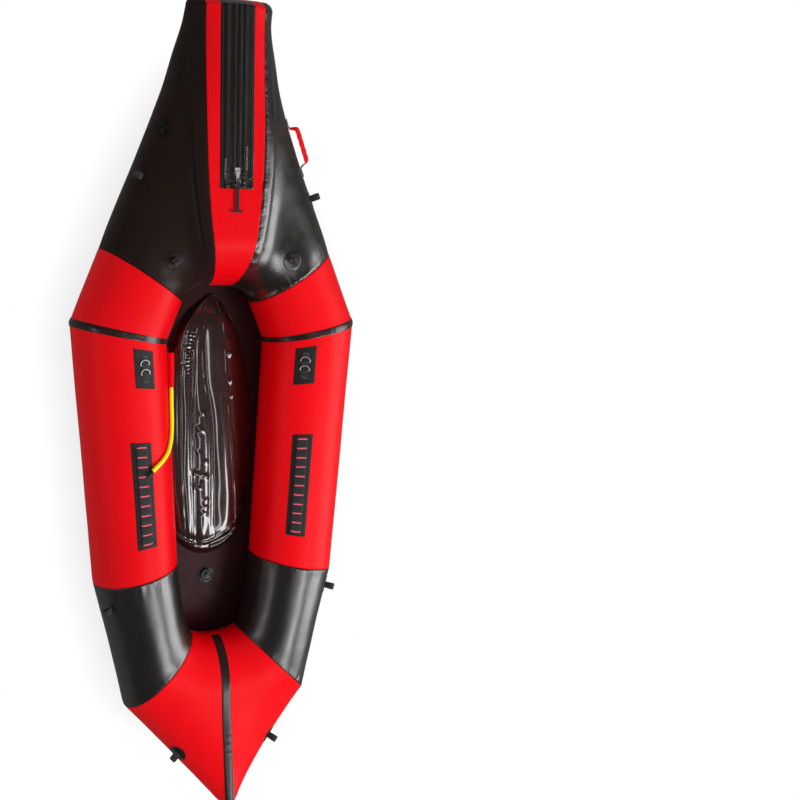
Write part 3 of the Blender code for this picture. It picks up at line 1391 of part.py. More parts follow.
def main():
    clear_scene()
    red = new_material("red_fabric", (0.72, 0.004, 0.012), 0.22)
    black = new_material("black_fabric", (0.012, 0.012, 0.014), 0.16)
    webbing = new_material("black_webbing", (0.016, 0.016, 0.017), 0.75)
    plastic = new_material("black_plastic", (0.014, 0.014, 0.015), 0.40)
    rubber = new_material("grey_rubber", (0.10, 0.10, 0.10), 0.60)
    metal = new_material("bright_metal", (0.62, 0.62, 0.62), 0.28, 1.0)
    yellow = new_material("yellow_tube", (0.80, 0.72, 0.02), 0.35)
    panels = make_hull(red, black)
    strip = make_centre_strip(red, black)
    skin = skin_tree(panels + [strip])
    make_tapes(black)
    make_floor(black)
    mat = make_mat(black)
    make_zipper(red, black, metal, strip)
    stern_frame = seated_frame(skin, laid_frame(*stern_valve_place_shares), FLANGE_DIAMETER / 2)
    stern_panel = next(obj for obj in panels if obj.name == "stern_panel_left")
    cut_valve_hole(stern_panel, stern_frame, black)
    make_valve("stern_valve", stern_frame, lambda x, y, lift: dropped(skin, stern_frame, x, y, lift),
               plastic, rubber)
    mat_frame = floor_valve_frame()
    cut_valve_hole(mat, mat_frame, black)
    make_valve("floor_valve", mat_frame, lambda x, y, lift: mat_frame @ Vector((x, y, lift)),
               plastic, rubber)
    make_d_rings(webbing, metal)
    make_lacing(webbing)
    for word, place in tie_place_shares.items():
        make_tie_loop(f"tie_loop_{word}", laid_frame(*place), skin, webbing)
    make_handle(red, webbing, skin)
    make_hose(red, yellow, plastic)


main()
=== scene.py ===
import math

import bmesh
import bpy
import numpy as np
from mathutils import Euler, Matrix, Vector, noise
from mathutils.bvhtree import BVHTree


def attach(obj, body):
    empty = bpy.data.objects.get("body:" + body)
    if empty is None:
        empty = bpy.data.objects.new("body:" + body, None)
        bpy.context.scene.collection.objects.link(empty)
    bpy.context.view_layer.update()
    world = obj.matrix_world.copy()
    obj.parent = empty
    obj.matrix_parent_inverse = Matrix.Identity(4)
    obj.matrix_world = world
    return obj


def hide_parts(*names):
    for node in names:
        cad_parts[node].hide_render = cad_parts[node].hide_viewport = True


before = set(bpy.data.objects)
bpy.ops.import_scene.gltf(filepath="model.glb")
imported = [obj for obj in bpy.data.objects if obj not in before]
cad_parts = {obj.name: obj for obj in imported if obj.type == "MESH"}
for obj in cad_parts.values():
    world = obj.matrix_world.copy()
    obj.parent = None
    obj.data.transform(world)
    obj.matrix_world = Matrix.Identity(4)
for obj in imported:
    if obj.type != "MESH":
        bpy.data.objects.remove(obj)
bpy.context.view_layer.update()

rng = np.random.default_rng(7)
scene = bpy.context.scene

# The hull's surface: a ring of tube, read at a station round the ring and a turn round the tube.
hull = {
    "halfLength": 1.31, "halfWidth": 0.4775, "radius": 0.15, "flatLevel": 0.0013,
    "cornerRadius": 0.028, "cornerX": 0.1375, "stripWidth": 0.19,
    "tipRadius": 0.022, "tipDepth": 0.012, "crestDepth": 0.165, "noseDepth": 0.030,
    "sternRise": 0.008, "bowRise": 0.055, "riseBlend": 0.12, "fullness": 0.055,
    "rearShare": 0.335, "frontShare": -0.573, "rearControl": 0.85, "frontControl": 0.60,
    "rimShare": 0.2, "flare": 4.5, "crownBlend": 50, "cornerStart": 0.1, "cornerEnd": 0.3, "tipStart": 0.9,
}
seams = {
    "shoulder": (0.801, 0.422, 33, 1.04), "knuckle": (1.0, 0.245, 11, 1.04),
    "quarter": (0.866, -0.409, -12, 0.95), "bow": (0.663, -0.738, -45, 1.10),
}
sternShares = ((0.296, 0.939), (0.334, 0.885), (0.406, 0.786), (0.586, 0.611))
sheetTurns = (187, 195, 210, 225, 239, 252, 264.66, 275.34, 288, 307, 320)
sheetEdge = {"bow": 187, "rest": 229, "end": 317, "blend": 8, "bowCalm": 189, "calm": 226, "calmEnd": 320,
             "calmBlend": 6}
cadStations = sorted({0, 1 / 3, 2 / 3, 1, 1.1, 1.2, 1.3, 1.45, 1.54, 1.63, 1.72, 1.81, 1.9, 2, 3, 3.5, 4,
                      4.25, 4.5, 4.75, 5, 5.15, 5.3, 5.45, 5.6, 5.75, 5.9, 5.95, 6})


def mix(a, b, share):
    return a + (b - a) * share


def ease(share):
    share = np.clip(share, 0.0, 1.0)
    return share * share * (3 - 2 * share)


def planPoint(x, y):
    return np.array((x * hull["halfWidth"], y * hull["halfLength"]))


def quadratic(start, control, end, share):
    return mix(mix(start, control, share), mix(control, end, share), share)


def throughPoints(points, share):
    spans = len(points) - 1
    place = min(share, 1.0) * spans
    index = min(int(place), spans - 1)
    t = place - index
    p1, p2 = points[index], points[index + 1]
    p0 = points[index - 1] if index > 0 else p1 * 2 - p2
    p3 = points[index + 2] if index + 2 <= spans else p2 * 2 - p1
    near = p1 * 2 + (p2 - p0) * t
    return (near + (p0 * 2 - p1 * 5 + p2 * 4 - p3) * t * t + (p1 * 3 - p0 - p2 * 3 + p3) * t ** 3) / 2


seamEnds = {}
for word, (xShare, yShare, degrees, stretch) in seams.items():
    outerEnd = planPoint(xShare, yShare)
    turned = np.array((math.cos(math.radians(degrees)), math.sin(math.radians(degrees))))
    seamEnds[word] = (outerEnd - 2 * hull["radius"] * stretch * turned, outerEnd)
rearMiddle = np.array((0.0, hull["rearShare"] * hull["halfLength"]))
frontMiddle = np.array((0.0, hull["frontShare"] * hull["halfLength"]))
sternCorner = np.array((hull["cornerX"], hull["halfLength"] - hull["cornerRadius"]))
sternSide = [sternCorner] + [planPoint(*pair) for pair in sternShares] + [seamEnds["shoulder"][1]]


def innerEdge(station):
    shoulder, knuckle = seamEnds["shoulder"][0], seamEnds["knuckle"][0]
    quarter, bow = seamEnds["quarter"][0], seamEnds["bow"][0]
    if station <= 2:
        control = np.array((shoulder[0] * hull["rearControl"], rearMiddle[1]))
        share = hull["rimShare"] * station
        if station > 1:
            share = mix(hull["rimShare"], 1.0, (station - 1) ** 1.5)
        return quadratic(rearMiddle, control, shoulder, share)
    if station <= 3:
        return mix(shoulder, knuckle, station - 2)
    if station <= 4:
        return mix(knuckle, quarter, station - 3)
    if station <= 5:
        return quadratic(quarter, planPoint(0.245, -0.520), bow, station - 4)
    control = np.array((bow[0] * hull["frontControl"], frontMiddle[1]))
    return quadratic(bow, control, frontMiddle, station - 5)


def sternOutline(share):
    cornerStart = np.array((sternCorner[0] - hull["cornerRadius"], hull["halfLength"]))
    first, last = hull["cornerStart"], hull["cornerEnd"]
    if share <= first:
        return mix(np.array((hull["stripWidth"] / 2, hull["halfLength"])), cornerStart, share / first)
    if share <= last:
        angle = math.radians(90) * (1 - (share - first) / (last - first))
        reach = hull["cornerRadius"] * np.array((math.cos(angle), math.sin(angle)))
        return np.array((cornerStart[0], sternCorner[1])) + reach
    return throughPoints(sternSide, (share - last) / (1 - last))


def outerEdge(station):
    if station <= 1:
        return np.array((station * hull["stripWidth"] / 2, hull["halfLength"]))
    if station <= 2:
        return sternOutline(station - 1)
    if station <= 3:
        return mix(seamEnds["shoulder"][1], seamEnds["knuckle"][1], station - 2)
    if station <= 4:
        return mix(seamEnds["knuckle"][1], seamEnds["quarter"][1], station - 3)
    if station <= 5:
        return quadratic(seamEnds["quarter"][1], planPoint(0.745, -0.582), seamEnds["bow"][1], station - 4)
    share = station - 5
    tip = np.array((hull["tipRadius"], hull["tipDepth"] - hull["halfLength"]))
    if share <= hull["tipStart"]:
        return mix(seamEnds["bow"][1], tip, share / hull["tipStart"])
    angle = math.radians(90) * (share - hull["tipStart"]) / (1 - hull["tipStart"])
    return np.array((hull["tipRadius"] * math.cos(angle), tip[1] - hull["tipDepth"] * math.sin(angle)))


sternCrest = rearMiddle[1] + hull["crestDepth"]
bowCrest = frontMiddle[1] - min((frontMiddle[1] + hull["halfLength"]) / 2, hull["crestDepth"])
sternSteps = hull["cornerStart"] + (1 - hull["cornerStart"]) * np.arange(91) / 90
sternRows = np.array([sternOutline(share) for share in sternSteps])
sternRows = sternRows[np.argsort(sternRows[:, 1])]


def endThickness(y):
    crest = np.where(y > 0, sternCrest, -bowCrest)
    reach = hull["halfLength"] - crest
    out = np.clip(np.abs(y) - crest, 0.0, reach - hull["noseDepth"])
    return np.sqrt(1 - (out / reach) ** 2)


def topRise(y):
    crest = np.where(y > 0, sternCrest, -bowCrest)
    rise = np.where(y > 0, hull["sternRise"], hull["bowRise"])
    blend = hull["riseBlend"]
    out = np.maximum(np.abs(y) - crest, 0.0)
    slope = rise / (hull["halfLength"] - crest - blend / 2)
    return np.where(out < blend, slope * out * out / (2 * blend), slope * (out - blend / 2))


# Points of the right half at one station
def surfaceRow(station, turns):
    inner, outer = innerEdge(station), outerEdge(station)
    span = np.linalg.norm(outer - inner)
    crest = min(span / 2, hull["crestDepth"])
    cosine = np.cos(np.radians(turns))
    depth = np.where(cosine >= 0, crest * (1 - cosine), crest - (span - crest) * cosine)
    share = depth / span
    flare = 1.0 if station > 2 else hull["flare"] if station <= 1 else mix(1.0, hull["flare"], 2 - station)
    x = mix(inner[0], outer[0], 1 - np.maximum(1 - share, 0.0) ** flare)
    y = mix(inner[1], outer[1], share)
    height = np.sin(np.radians(turns))
    if station < 2:
        folded = turns % 360
        folded = np.where(folded <= 180, folded, 360 - folded)
        along = np.clip((y - sternCrest) / (hull["halfLength"] - sternCrest), 0.0, 1.0)
        across = np.minimum(x / np.interp(y, sternRows[:, 1], sternRows[:, 0]), 1.0)
        crowned = np.sqrt(1 - along ** 2) * np.sqrt(np.maximum(1 - across ** 2, 0.0))
        weight = ease((folded - 90) / hull["crownBlend"]) * ease((2 - station) / (1 - hull["cornerEnd"]))
        height = mix(height, np.copysign(crowned, height), weight)
    thick = endThickness(y)
    z = 2 * hull["radius"] + topRise(y) - hull["radius"] * thick + hull["radius"] * height
    z = z + np.where(height > 0, hull["fullness"] * ease(2 - station) * np.minimum(height / thick, 1.0), 0.0)
    return np.stack((x, y, z), axis=-1)


cadRows = [surfaceRow(s, np.array(sheetTurns, dtype=float)) for s in cadStations]


# Points of the right half where the floor sheet lies, on the sheet's own facets
def underSheet(station, turns):
    index = min(np.searchsorted(cadStations, station, side="right") - 1, len(cadStations) - 2)
    near, far = cadStations[index], cadStations[index + 1]
    row = mix(cadRows[index], cadRows[index + 1], (station - near) / (far - near))
    return np.stack([np.interp(turns, sheetTurns, row[:, axis]) for axis in range(3)], axis=-1)


# Points over stations and turns, raised off the surface by lift, with their normals
def hullGrid(side, stations, turns, lift=0.0, facets=False):
    turns = np.asarray(turns, dtype=float)
    points, normals = [], []
    for station in stations:
        row = surfaceRow(station, turns)
        step = 0.001 if abs(station - round(station)) < 1e-6 else 0.006
        before, after = max(station - step, 0.0), min(station + step, 6.0)
        along = surfaceRow(after, turns) - surfaceRow(before, turns)
        if station < step or station > 6 - step:
            along = np.tile((1.0 if station < step else -1.0, 0.0, 0.0), (len(turns), 1))
        around = surfaceRow(station, turns + 1) - surfaceRow(station, turns - 1)
        around = np.where(np.linalg.norm(around, axis=-1, keepdims=True) < 1e-6, (0.0, 0.0, -1.0), around)
        normal = np.cross(along, around)
        normal /= np.linalg.norm(normal, axis=-1, keepdims=True)
        if facets:
            wrapped = turns % 360
            start = sheetEdge["bow"] if station > 5 else sheetEdge["rest"]
            weight = ease((wrapped - start) / sheetEdge["blend"])
            weight = weight * ease((sheetEdge["end"] - wrapped) / sheetEdge["blend"])
            row = mix(row, underSheet(station, wrapped), weight[:, None])
        row = row + normal * lift
        row[:, 2] = np.maximum(row[:, 2], hull["flatLevel"] - lift)
        points.append(row)
        normals.append(normal)
    points, normals = np.array(points), np.array(normals)
    points[..., 0] *= side
    normals[..., 0] *= side
    return points, normals


def hullPoint(side, station, turn, lift=0.0):
    return Vector(hullGrid(side, [station], [turn], lift)[0][0, 0])


def axesOf(x, y, z, place):
    axes = Matrix((x, y, z)).transposed().to_4x4()
    axes.translation = place
    return axes


# Axes at a place on the hull: Z out of it, Y along it towards the stern
def laidFrame(side, station, turn):
    points, normals = hullGrid(side, [station], [turn])
    normal = Vector(normals[0, 0])
    near = hullGrid(side, [station - 0.01], [turn])[0][0, 0]
    far = hullGrid(side, [station + 0.01], [turn])[0][0, 0]
    along = Vector(near - far)
    yAxis = (along - normal * along.dot(normal)).normalized()
    return axesOf(yAxis.cross(normal), yAxis, normal, Vector(points[0, 0]))


# Helpers for objects and meshes
def setAll(item, **values):
    for key, value in values.items():
        setattr(item, key, value)
    return item


def addObject(name, data):
    obj = bpy.data.objects.new(name, data)
    scene.collection.objects.link(obj)
    return obj


def newObject(name, mesh, material):
    mesh.materials.append(material)
    return addObject(name, mesh)


# Arc lengths and the distance to the nearest seam, for the materials to read
def layAttributes(obj, laid, seam):
    values = obj.data.attributes.new("laid", "FLOAT_VECTOR", "POINT")
    values.data.foreach_set("vector", laid.astype(np.float32).ravel())
    near = obj.data.attributes.new("seam", "FLOAT", "POINT")
    near.data.foreach_set("value", seam.astype(np.float32).ravel())


# For pieces that aren't hull panels: the place itself, and no seam within 20 mm
def plainAttributes(obj):
    count = len(obj.data.vertices)
    places = np.empty(count * 3, dtype=np.float32)
    obj.data.vertices.foreach_get("co", places)
    layAttributes(obj, places.reshape(-1, 3), np.full(count, 0.02))


def meshFrom(name, points, faces, material, smooth=40):
    mesh = bpy.data.meshes.new(name)
    mesh.from_pydata([tuple(p) for p in points], [], [tuple(f) for f in faces])
    mesh.validate()
    bm = bmesh.new()
    bm.from_mesh(mesh)
    bmesh.ops.remove_doubles(bm, verts=bm.verts, dist=0.000002)
    bmesh.ops.recalc_face_normals(bm, faces=bm.faces)
    bm.to_mesh(mesh)
    bm.free()
    mesh.shade_smooth()
    mesh.set_sharp_from_angle(angle=math.radians(smooth))
    obj = newObject(name, mesh, material)
    plainAttributes(obj)
    return obj


def gridFaces(rows, columns, offset=0, closed=False, flip=False):
    faces = []
    for i in range(rows - 1):
        for j in range(columns if closed else columns - 1):
            k = (j + 1) % columns
            quad = (offset + i * columns + j, offset + i * columns + k,
                    offset + (i + 1) * columns + k, offset + (i + 1) * columns + j)
            faces.append(quad[::-1] if flip else quad)
    return faces


# A closed body between two grids of the same size
def shellObject(name, outer, inner, material, closed=False, smooth=40):
    rows, columns = outer.shape[:2]
    count = rows * columns
    points = np.concatenate((outer.reshape(-1, 3), inner.reshape(-1, 3)))
    faces = gridFaces(rows, columns, 0, closed) + gridFaces(rows, columns, count, closed, flip=True)
    spans = columns if closed else columns - 1
    edges = [(i * columns + j, i * columns + (j + 1) % columns) for i in (0, rows - 1) for j in range(spans)]
    if not closed:
        edges += [(i * columns + j, (i + 1) * columns + j) for i in range(rows - 1)
                  for j in (0, columns - 1)]
    faces += [(a, b, b + count, a + count) for a, b in edges]
    return meshFrom(name, points, faces, material, smooth)


# A round tube along a route, with flat ends
def tubeObject(name, route, radii, material, sides=16, closed=False):
    route = [Vector(p) for p in route]
    count = len(route)
    radii = [radii] * count if np.isscalar(radii) else list(radii)
    points, axis = [], None
    for i in range(count):
        before = route[(i - 1) % count] if closed else route[max(i - 1, 0)]
        after = route[(i + 1) % count] if closed else route[min(i + 1, count - 1)]
        along = (after - before).normalized()
        if axis is None:
            axis = along.orthogonal().normalized()
        axis = (axis - along * axis.dot(along)).normalized()
        other = along.cross(axis)
        for j in range(sides):
            angle = math.tau * j / sides
            points.append(route[i] + (axis * math.cos(angle) + other * math.sin(angle)) * radii[i])
    faces = gridFaces(count, sides, 0, True)
    if closed:
        last, rings = (count - 1) * sides, np.array(points)
        gaps = [np.linalg.norm(rings[last:] - np.roll(rings[:sides], -turn, axis=0), axis=1).sum()
                for turn in range(sides)]
        shift = int(np.argmin(gaps))
        for j in range(sides):
            k = (j + 1) % sides
            faces.append((last + j, last + k, (k + shift) % sides, (j + shift) % sides))
    else:
        faces.append(tuple(range(sides)))
        faces.append(tuple((count - 1) * sides + j for j in range(sides)))
    return meshFrom(name, points, faces, material)


# A closed profile of (radius, height) turned about the frame's Z
def latheObject(name, axes, profile, material, sides=72, lobes=0, lobeDepth=0.0, lobed=()):
    angles = [math.tau * j / sides for j in range(sides)]
    points = []
    for index, (radius, height) in enumerate(profile):
        depth = lobeDepth if index in lobed else 0.0
        for angle in angles:
            reach = radius - depth * (1 - math.cos(lobes * angle)) / 2
            points.append(axes @ Vector((reach * math.cos(angle), reach * math.sin(angle), height)))
    faces = gridFaces(len(profile), sides, 0, True)
    if profile[0][0] > 0 or profile[-1][0] > 0:
        last = (len(profile) - 1) * sides
        faces += [(last + j, last + (j + 1) % sides, (j + 1) % sides, j) for j in range(sides)]
    return meshFrom(name, points, faces, material, 30)


# The profile with each corner cut to a small arc
def rounded(profile, radius, steps=3):
    result = []
    count = len(profile)
    for i, corner in enumerate(profile):
        here = Vector(corner)
        before, after = Vector(profile[i - 1]), Vector(profile[(i + 1) % count])
        if corner[0] == 0:
            result.append(corner)
            continue
        start = here + (before - here).normalized() * min(radius, (before - here).length * 0.4)
        end = here + (after - here).normalized() * min(radius, (after - here).length * 0.4)
        for step in range(steps + 1):
            result.append(tuple(quadratic(start, here, end, step / steps)))
    return result


def evenRoute(route, spacing):
    route = [np.array(p, dtype=float) for p in route]
    fine = np.array([throughPoints(route, i / (20 * len(route))) for i in range(20 * len(route) + 1)])
    lengths = np.concatenate(((0.0,), np.cumsum(np.linalg.norm(np.diff(fine, axis=0), axis=1))))
    count = max(round(lengths[-1] / spacing), 2)
    places = np.linspace(0.0, lengths[-1], count + 1)
    return np.stack([np.interp(places, lengths, fine[:, a]) for a in range(3)], axis=-1), lengths[-1]


def noiseAt(points, scale, depth=2):
    flat = points.reshape(-1, 3) * scale
    values = np.array([noise.fractal(Vector(p), 0.8, 2.0, depth) for p in flat])
    return values.reshape(points.shape[:-1])


def arcLengths(points, axis):
    steps = np.linalg.norm(np.diff(points, axis=axis), axis=-1)
    first = np.zeros_like(np.take(steps, [0], axis=axis))
    return np.concatenate((first, np.cumsum(steps, axis=axis)), axis=axis)


# Node helpers: a socket among the inputs is linked, any other value is set
def feed(tree, node, inputs):
    for slot, value in inputs.items():
        if isinstance(value, bpy.types.NodeSocket):
            tree.links.new(value, node.inputs[slot])
        else:
            node.inputs[slot].default_value = value


def addNode(tree, kind, inputs=None, **settings):
    node = setAll(tree.nodes.new(kind), **settings)
    feed(tree, node, inputs or {})
    return node


def newMaterial(name):
    material = bpy.data.materials.new(name)
    material.use_nodes = True
    return material, material.node_tree, material.node_tree.nodes["Principled BSDF"]


def objectCoords(tree):
    return addNode(tree, "ShaderNodeTexCoord").outputs["Object"]


def readAttribute(tree, name, output):
    return addNode(tree, "ShaderNodeAttribute", attribute_name=name).outputs[output]


def scaled(tree, source, scale):
    return addNode(tree, "ShaderNodeMapping", {"Vector": source, "Scale": scale}).outputs["Vector"]


def noiseNode(tree, source, scale, detail, rough=0.5, distortion=0.0):
    inputs = {"Vector": source, "Scale": scale, "Detail": detail, "Roughness": rough,
              "Distortion": distortion}
    return addNode(tree, "ShaderNodeTexNoise", inputs).outputs["Fac"]


def mathNode(tree, operation, *values):
    return addNode(tree, "ShaderNodeMath", dict(enumerate(values)), operation=operation).outputs[0]


def rangeNode(tree, source, *limits, **settings):
    inputs = dict(zip(("From Min", "From Max", "To Min", "To Max"), limits), Value=source)
    return addNode(tree, "ShaderNodeMapRange", inputs, **settings).outputs["Result"]


def colorMix(tree, share, a, b):
    a, b = [(*value, 1.0) if isinstance(value, tuple) else value for value in (a, b)]
    return addNode(tree, "ShaderNodeMix", {0: share, 6: a, 7: b}, data_type="RGBA").outputs[2]


def bumpNode(tree, height, distance, normal=None, strength=1.0):
    inputs = {"Distance": distance, "Strength": strength, "Height": height}
    if normal is not None:
        inputs["Normal"] = normal
    return addNode(tree, "ShaderNodeBump", inputs).outputs["Normal"]


# Air-tight coated cloth: soft gloss, faint weave, puckers and a dark line at the welded seams
def coatedFabric(name, look):
    material, tree, shader = newMaterial(name)
    coords = objectCoords(tree)
    seam, arc = readAttribute(tree, "seam", "Fac"), readAttribute(tree, "laid", "Vector")
    color = colorMix(tree, noiseNode(tree, coords, 4.0, 3.0), look["color"], look["tint"])
    if look["lineWidth"]:
        line = rangeNode(tree, seam, 0.0004, look["lineWidth"], 1.0, 0.0)
        color = colorMix(tree, line, color, look["lineColor"])
    wear = noiseNode(tree, coords, 22.0, 4.0, 0.6)
    threads = {"Vector": arc, "Scale": 1.0, "Brick Width": 0.0016, "Row Height": 0.0008,
               "Mortar Size": 0.0002}
    weave = addNode(tree, "ShaderNodeTexBrick", threads, offset=0.5, squash=1.0)
    normal = bumpNode(tree, weave.outputs["Fac"], 0.00003, strength=look["weave"])
    crinkle = noiseNode(tree, scaled(tree, arc, (60.0, 14.0, 1.0)), 1.0, 4.0, 0.55, 0.6)
    near = mathNode(tree, "POWER", rangeNode(tree, seam, 0.002, 0.034, 1.0, 0.0), 2.0)
    normal = bumpNode(tree, mathNode(tree, "MULTIPLY", crinkle, near), look["crinkle"], normal)
    normal = bumpNode(tree, noiseNode(tree, coords, 7.0, 2.0), look["swell"], normal)
    feed(tree, shader, {
        "Base Color": color, "Normal": normal, "IOR": look["ior"],
        "Roughness": rangeNode(tree, wear, 0.3, 0.7, look["rough"] - 0.03, look["rough"] + 0.05),
        "Coat Weight": look["coat"], "Coat Roughness": look["coatRough"],
    })
    return material


redLook = {
    "color": (0.90, 0.0008, 0.0045), "tint": (0.76, 0.0006, 0.0065), "rough": 0.38, "ior": 1.21,
    "lineWidth": 0.0022, "lineColor": (0.10, 0.001, 0.003), "weave": 0.25, "crinkle": 0.0012,
    "swell": 0.0025, "coat": 0.0, "coatRough": 0.16,
}
blackLook = {
    "color": (0.0052, 0.0038, 0.0032), "tint": (0.0076, 0.0052, 0.0042), "rough": 0.29, "ior": 2.20,
    "lineWidth": 0.0016, "lineColor": (0.003, 0.003, 0.003), "weave": 0.30, "crinkle": 0.0035,
    "swell": 0.0030, "coat": 0.12, "coatRough": 0.20,
}
# Duller black for the left stern side: rougher and less glossy, with its colour lifted and warmed as a
# painted soft highlight
dullSoftHighlightLook = dict(blackLook, rough=0.36, ior=1.28, coat=0.0, color=(0.015, 0.0082, 0.0066),
                tint=(0.021, 0.0112, 0.0088))
quarterLook = dict(blackLook, rough=0.31, ior=2.30, coat=0.0)
filmLook = dict(blackLook, rough=0.22, crinkle=0.0010, swell=0.0006, coat=1.0, coatRough=0.05, weave=0.1,
                color=(0.019, 0.0078, 0.0080), tint=(0.032, 0.0092, 0.010), ior=1.6)
tapeLook = dict(filmLook, rough=0.30, coat=0.25, coatRough=0.16, color=(0.009, 0.007, 0.006))
# Floor film: dark film whose wine-red tint is a painted reflection of the red tubes
floorRedReflectionLook = dict(filmLook, color=(0.026, 0.0056, 0.0074), tint=(0.044, 0.0072, 0.0100), rough=0.40, ior=1.30,
                 coat=0.0, lineWidth=0.0)
redFabric = coatedFabric("redFabric", redLook)
blackFabric = coatedFabric("blackFabric", blackLook)
dullSoftHighlightFabric = coatedFabric("dullBlackSoftHighlight", dullSoftHighlightLook)
quarterFabric = coatedFabric("quarterFabric", quarterLook)
tapeFabric = coatedFabric("tapeFilm", tapeLook)
filmFabric = coatedFabric("blackFilm", filmLook)
filmFabric.node_tree.nodes["Principled BSDF"].inputs["Coat IOR"].default_value = 2.1
floorRedReflectionFabric = coatedFabric("floorFilmRedReflection", floorRedReflectionLook)


# Woven webbing: fine slanting ribs crossed by threads, matt, paler in patches on the raised ribs
def wovenMaterial(name, color, rough, rib=0.0022, depth=0.0004, sheen=0.3):
    material, tree, shader = newMaterial(name)
    arc = readAttribute(tree, "laid", "Vector")
    density = 1.0 / rib / math.tau
    slanting = {"Vector": arc, "Scale": density * 2, "Distortion": 1.2, "Detail": 1.0}
    ribs = addNode(tree, "ShaderNodeTexWave", slanting, wave_type="BANDS", bands_direction="DIAGONAL")
    cross = addNode(tree, "ShaderNodeTexWave", {"Vector": arc, "Scale": density * 4}, wave_type="BANDS",
                    bands_direction="X")
    weave = mathNode(tree, "MULTIPLY", ribs.outputs["Fac"], cross.outputs["Fac"])
    ribPatchNoise = noiseNode(tree, objectCoords(tree), 60.0, 3.0)
    light = tuple(min(c * 2.2 + 0.006, 1.0) for c in color)
    feed(tree, shader, {
        # Colour is paler where the ribs stand up, in patches of noise, and darker in the grooves
        "Base Color": colorMix(tree, mathNode(tree, "MULTIPLY", weave, ribPatchNoise), color, light),
        "Roughness": rangeNode(tree, ribPatchNoise, 0.2, 0.8, rough - 0.08, rough + 0.08),
        "Normal": bumpNode(tree, weave, depth), "Sheen Weight": sheen, "Sheen Roughness": 0.5,
    })
    return material


# Moulded plastic, rubber or plated metal with a fine grain and faint wear
def mouldedMaterial(name, color, rough, grain, metallic=0.0, scratches=0.0):
    material, tree, shader = newMaterial(name)
    coords = objectCoords(tree)
    wide = noiseNode(tree, coords, 70.0, 4.0, 0.6)
    normal = bumpNode(tree, noiseNode(tree, coords, 900.0, 3.0), grain)
    if scratches:
        streaks = noiseNode(tree, scaled(tree, coords, (60.0, 900.0, 400.0)), 1.0, 3.0)
        normal = bumpNode(tree, streaks, scratches, normal)
    feed(tree, shader, {
        "Base Color": colorMix(tree, wide, tuple(c * 0.72 for c in color), color),
        "Roughness": rangeNode(tree, wide, 0.3, 0.7, max(rough - 0.06, 0.02), rough + 0.06),
        "Normal": normal, "Metallic": metallic,
    })
    return material


blackWebbing = wovenMaterial("blackWebbing", (0.013, 0.012, 0.012), 0.72)
patchFabric = wovenMaterial("patchFabric", (0.010, 0.009, 0.009), 0.60, 0.0012, 0.00015, 0.05)
redThread = wovenMaterial("redThread", (0.80, 0.07, 0.13), 0.60, rib=0.0010, depth=0.0002, sheen=0.1)
whiteThread = wovenMaterial("whiteThread", (0.55, 0.55, 0.54), 0.60, rib=0.0008, depth=0.0001, sheen=0.1)
blackPlastic = mouldedMaterial("blackPlastic", (0.012, 0.011, 0.011), 0.24, 0.00004)
greyRubber = mouldedMaterial("greyRubber", (0.10, 0.10, 0.10), 0.60, 0.00006)
brightMetal = mouldedMaterial("brightMetal", (0.90, 0.89, 0.87), 0.32, 0.00001, 0.6, 0.00002)

# Soft yellow tube: even colour, waxy gloss, a little light through it
yellowTube, tree, shader = newMaterial("yellowTube")
coords = objectCoords(tree)
fine = noiseNode(tree, coords, 260.0, 3.0)
feed(tree, shader, {
    "Base Color": colorMix(tree, noiseNode(tree, coords, 18.0, 3.0), (0.94, 0.80, 0.002),
                           (0.98, 0.90, 0.008)),
    "Roughness": rangeNode(tree, fine, 0.2, 0.8, 0.26, 0.40), "Normal": bumpNode(tree, fine, 0.00002),
    "Subsurface Weight": 0.25, "Subsurface Scale": 0.004,
})

# Coated zipper tape: satin black, with paler woven bands beside the teeth and along the edges
zipTape, tree, shader = newMaterial("zipTape")
coords = objectCoords(tree)
across = mathNode(tree, "ABSOLUTE", addNode(tree, "ShaderNodeSeparateXYZ", {0: coords}).outputs["X"])
bands = 0.0
for middle, width in ((0.0085, 0.0050), (0.0290, 0.0085), (0.0475, 0.0030)):
    away = mathNode(tree, "ABSOLUTE", mathNode(tree, "SUBTRACT", across, middle))
    bands = mathNode(tree, "MAXIMUM", bands, rangeNode(tree, away, 0.0, width, 1.0, 0.0))
streak = noiseNode(tree, scaled(tree, coords, (320.0, 9.0, 60.0)), 1.0, 3.0)
bands = mathNode(tree, "MULTIPLY", bands, streak)
lines = noiseNode(tree, scaled(tree, coords, (900.0, 40.0, 100.0)), 1.0, 2.0)
feed(tree, shader, {
    "Base Color": colorMix(tree, bands, (0.007, 0.006, 0.006), (0.060, 0.052, 0.050)),
    "Roughness": rangeNode(tree, streak, 0.3, 0.7, 0.24, 0.40), "Normal": bumpNode(tree, lines, 0.0004),
    "Coat Weight": 0.9, "Coat Roughness": 0.07,
})


def standsFor(obj, slot, body, *nodes):
    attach(obj, body)
    if nodes:
        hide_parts(*nodes)


def paintNode(name, material):
    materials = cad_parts[name].data.materials
    materials.clear()
    materials.append(material)


print("materials ready")

# Hull panels. Each is one open length of skin whose edges fold in at the seams.
panelLook = {
    "fold": 0.004, "dip": 0.0009, "dipReach": 0.0045, "broad": 0.0009, "redPucker": 0.0005,
    "blackPucker": 0.0016, "side": 0.0044,
}


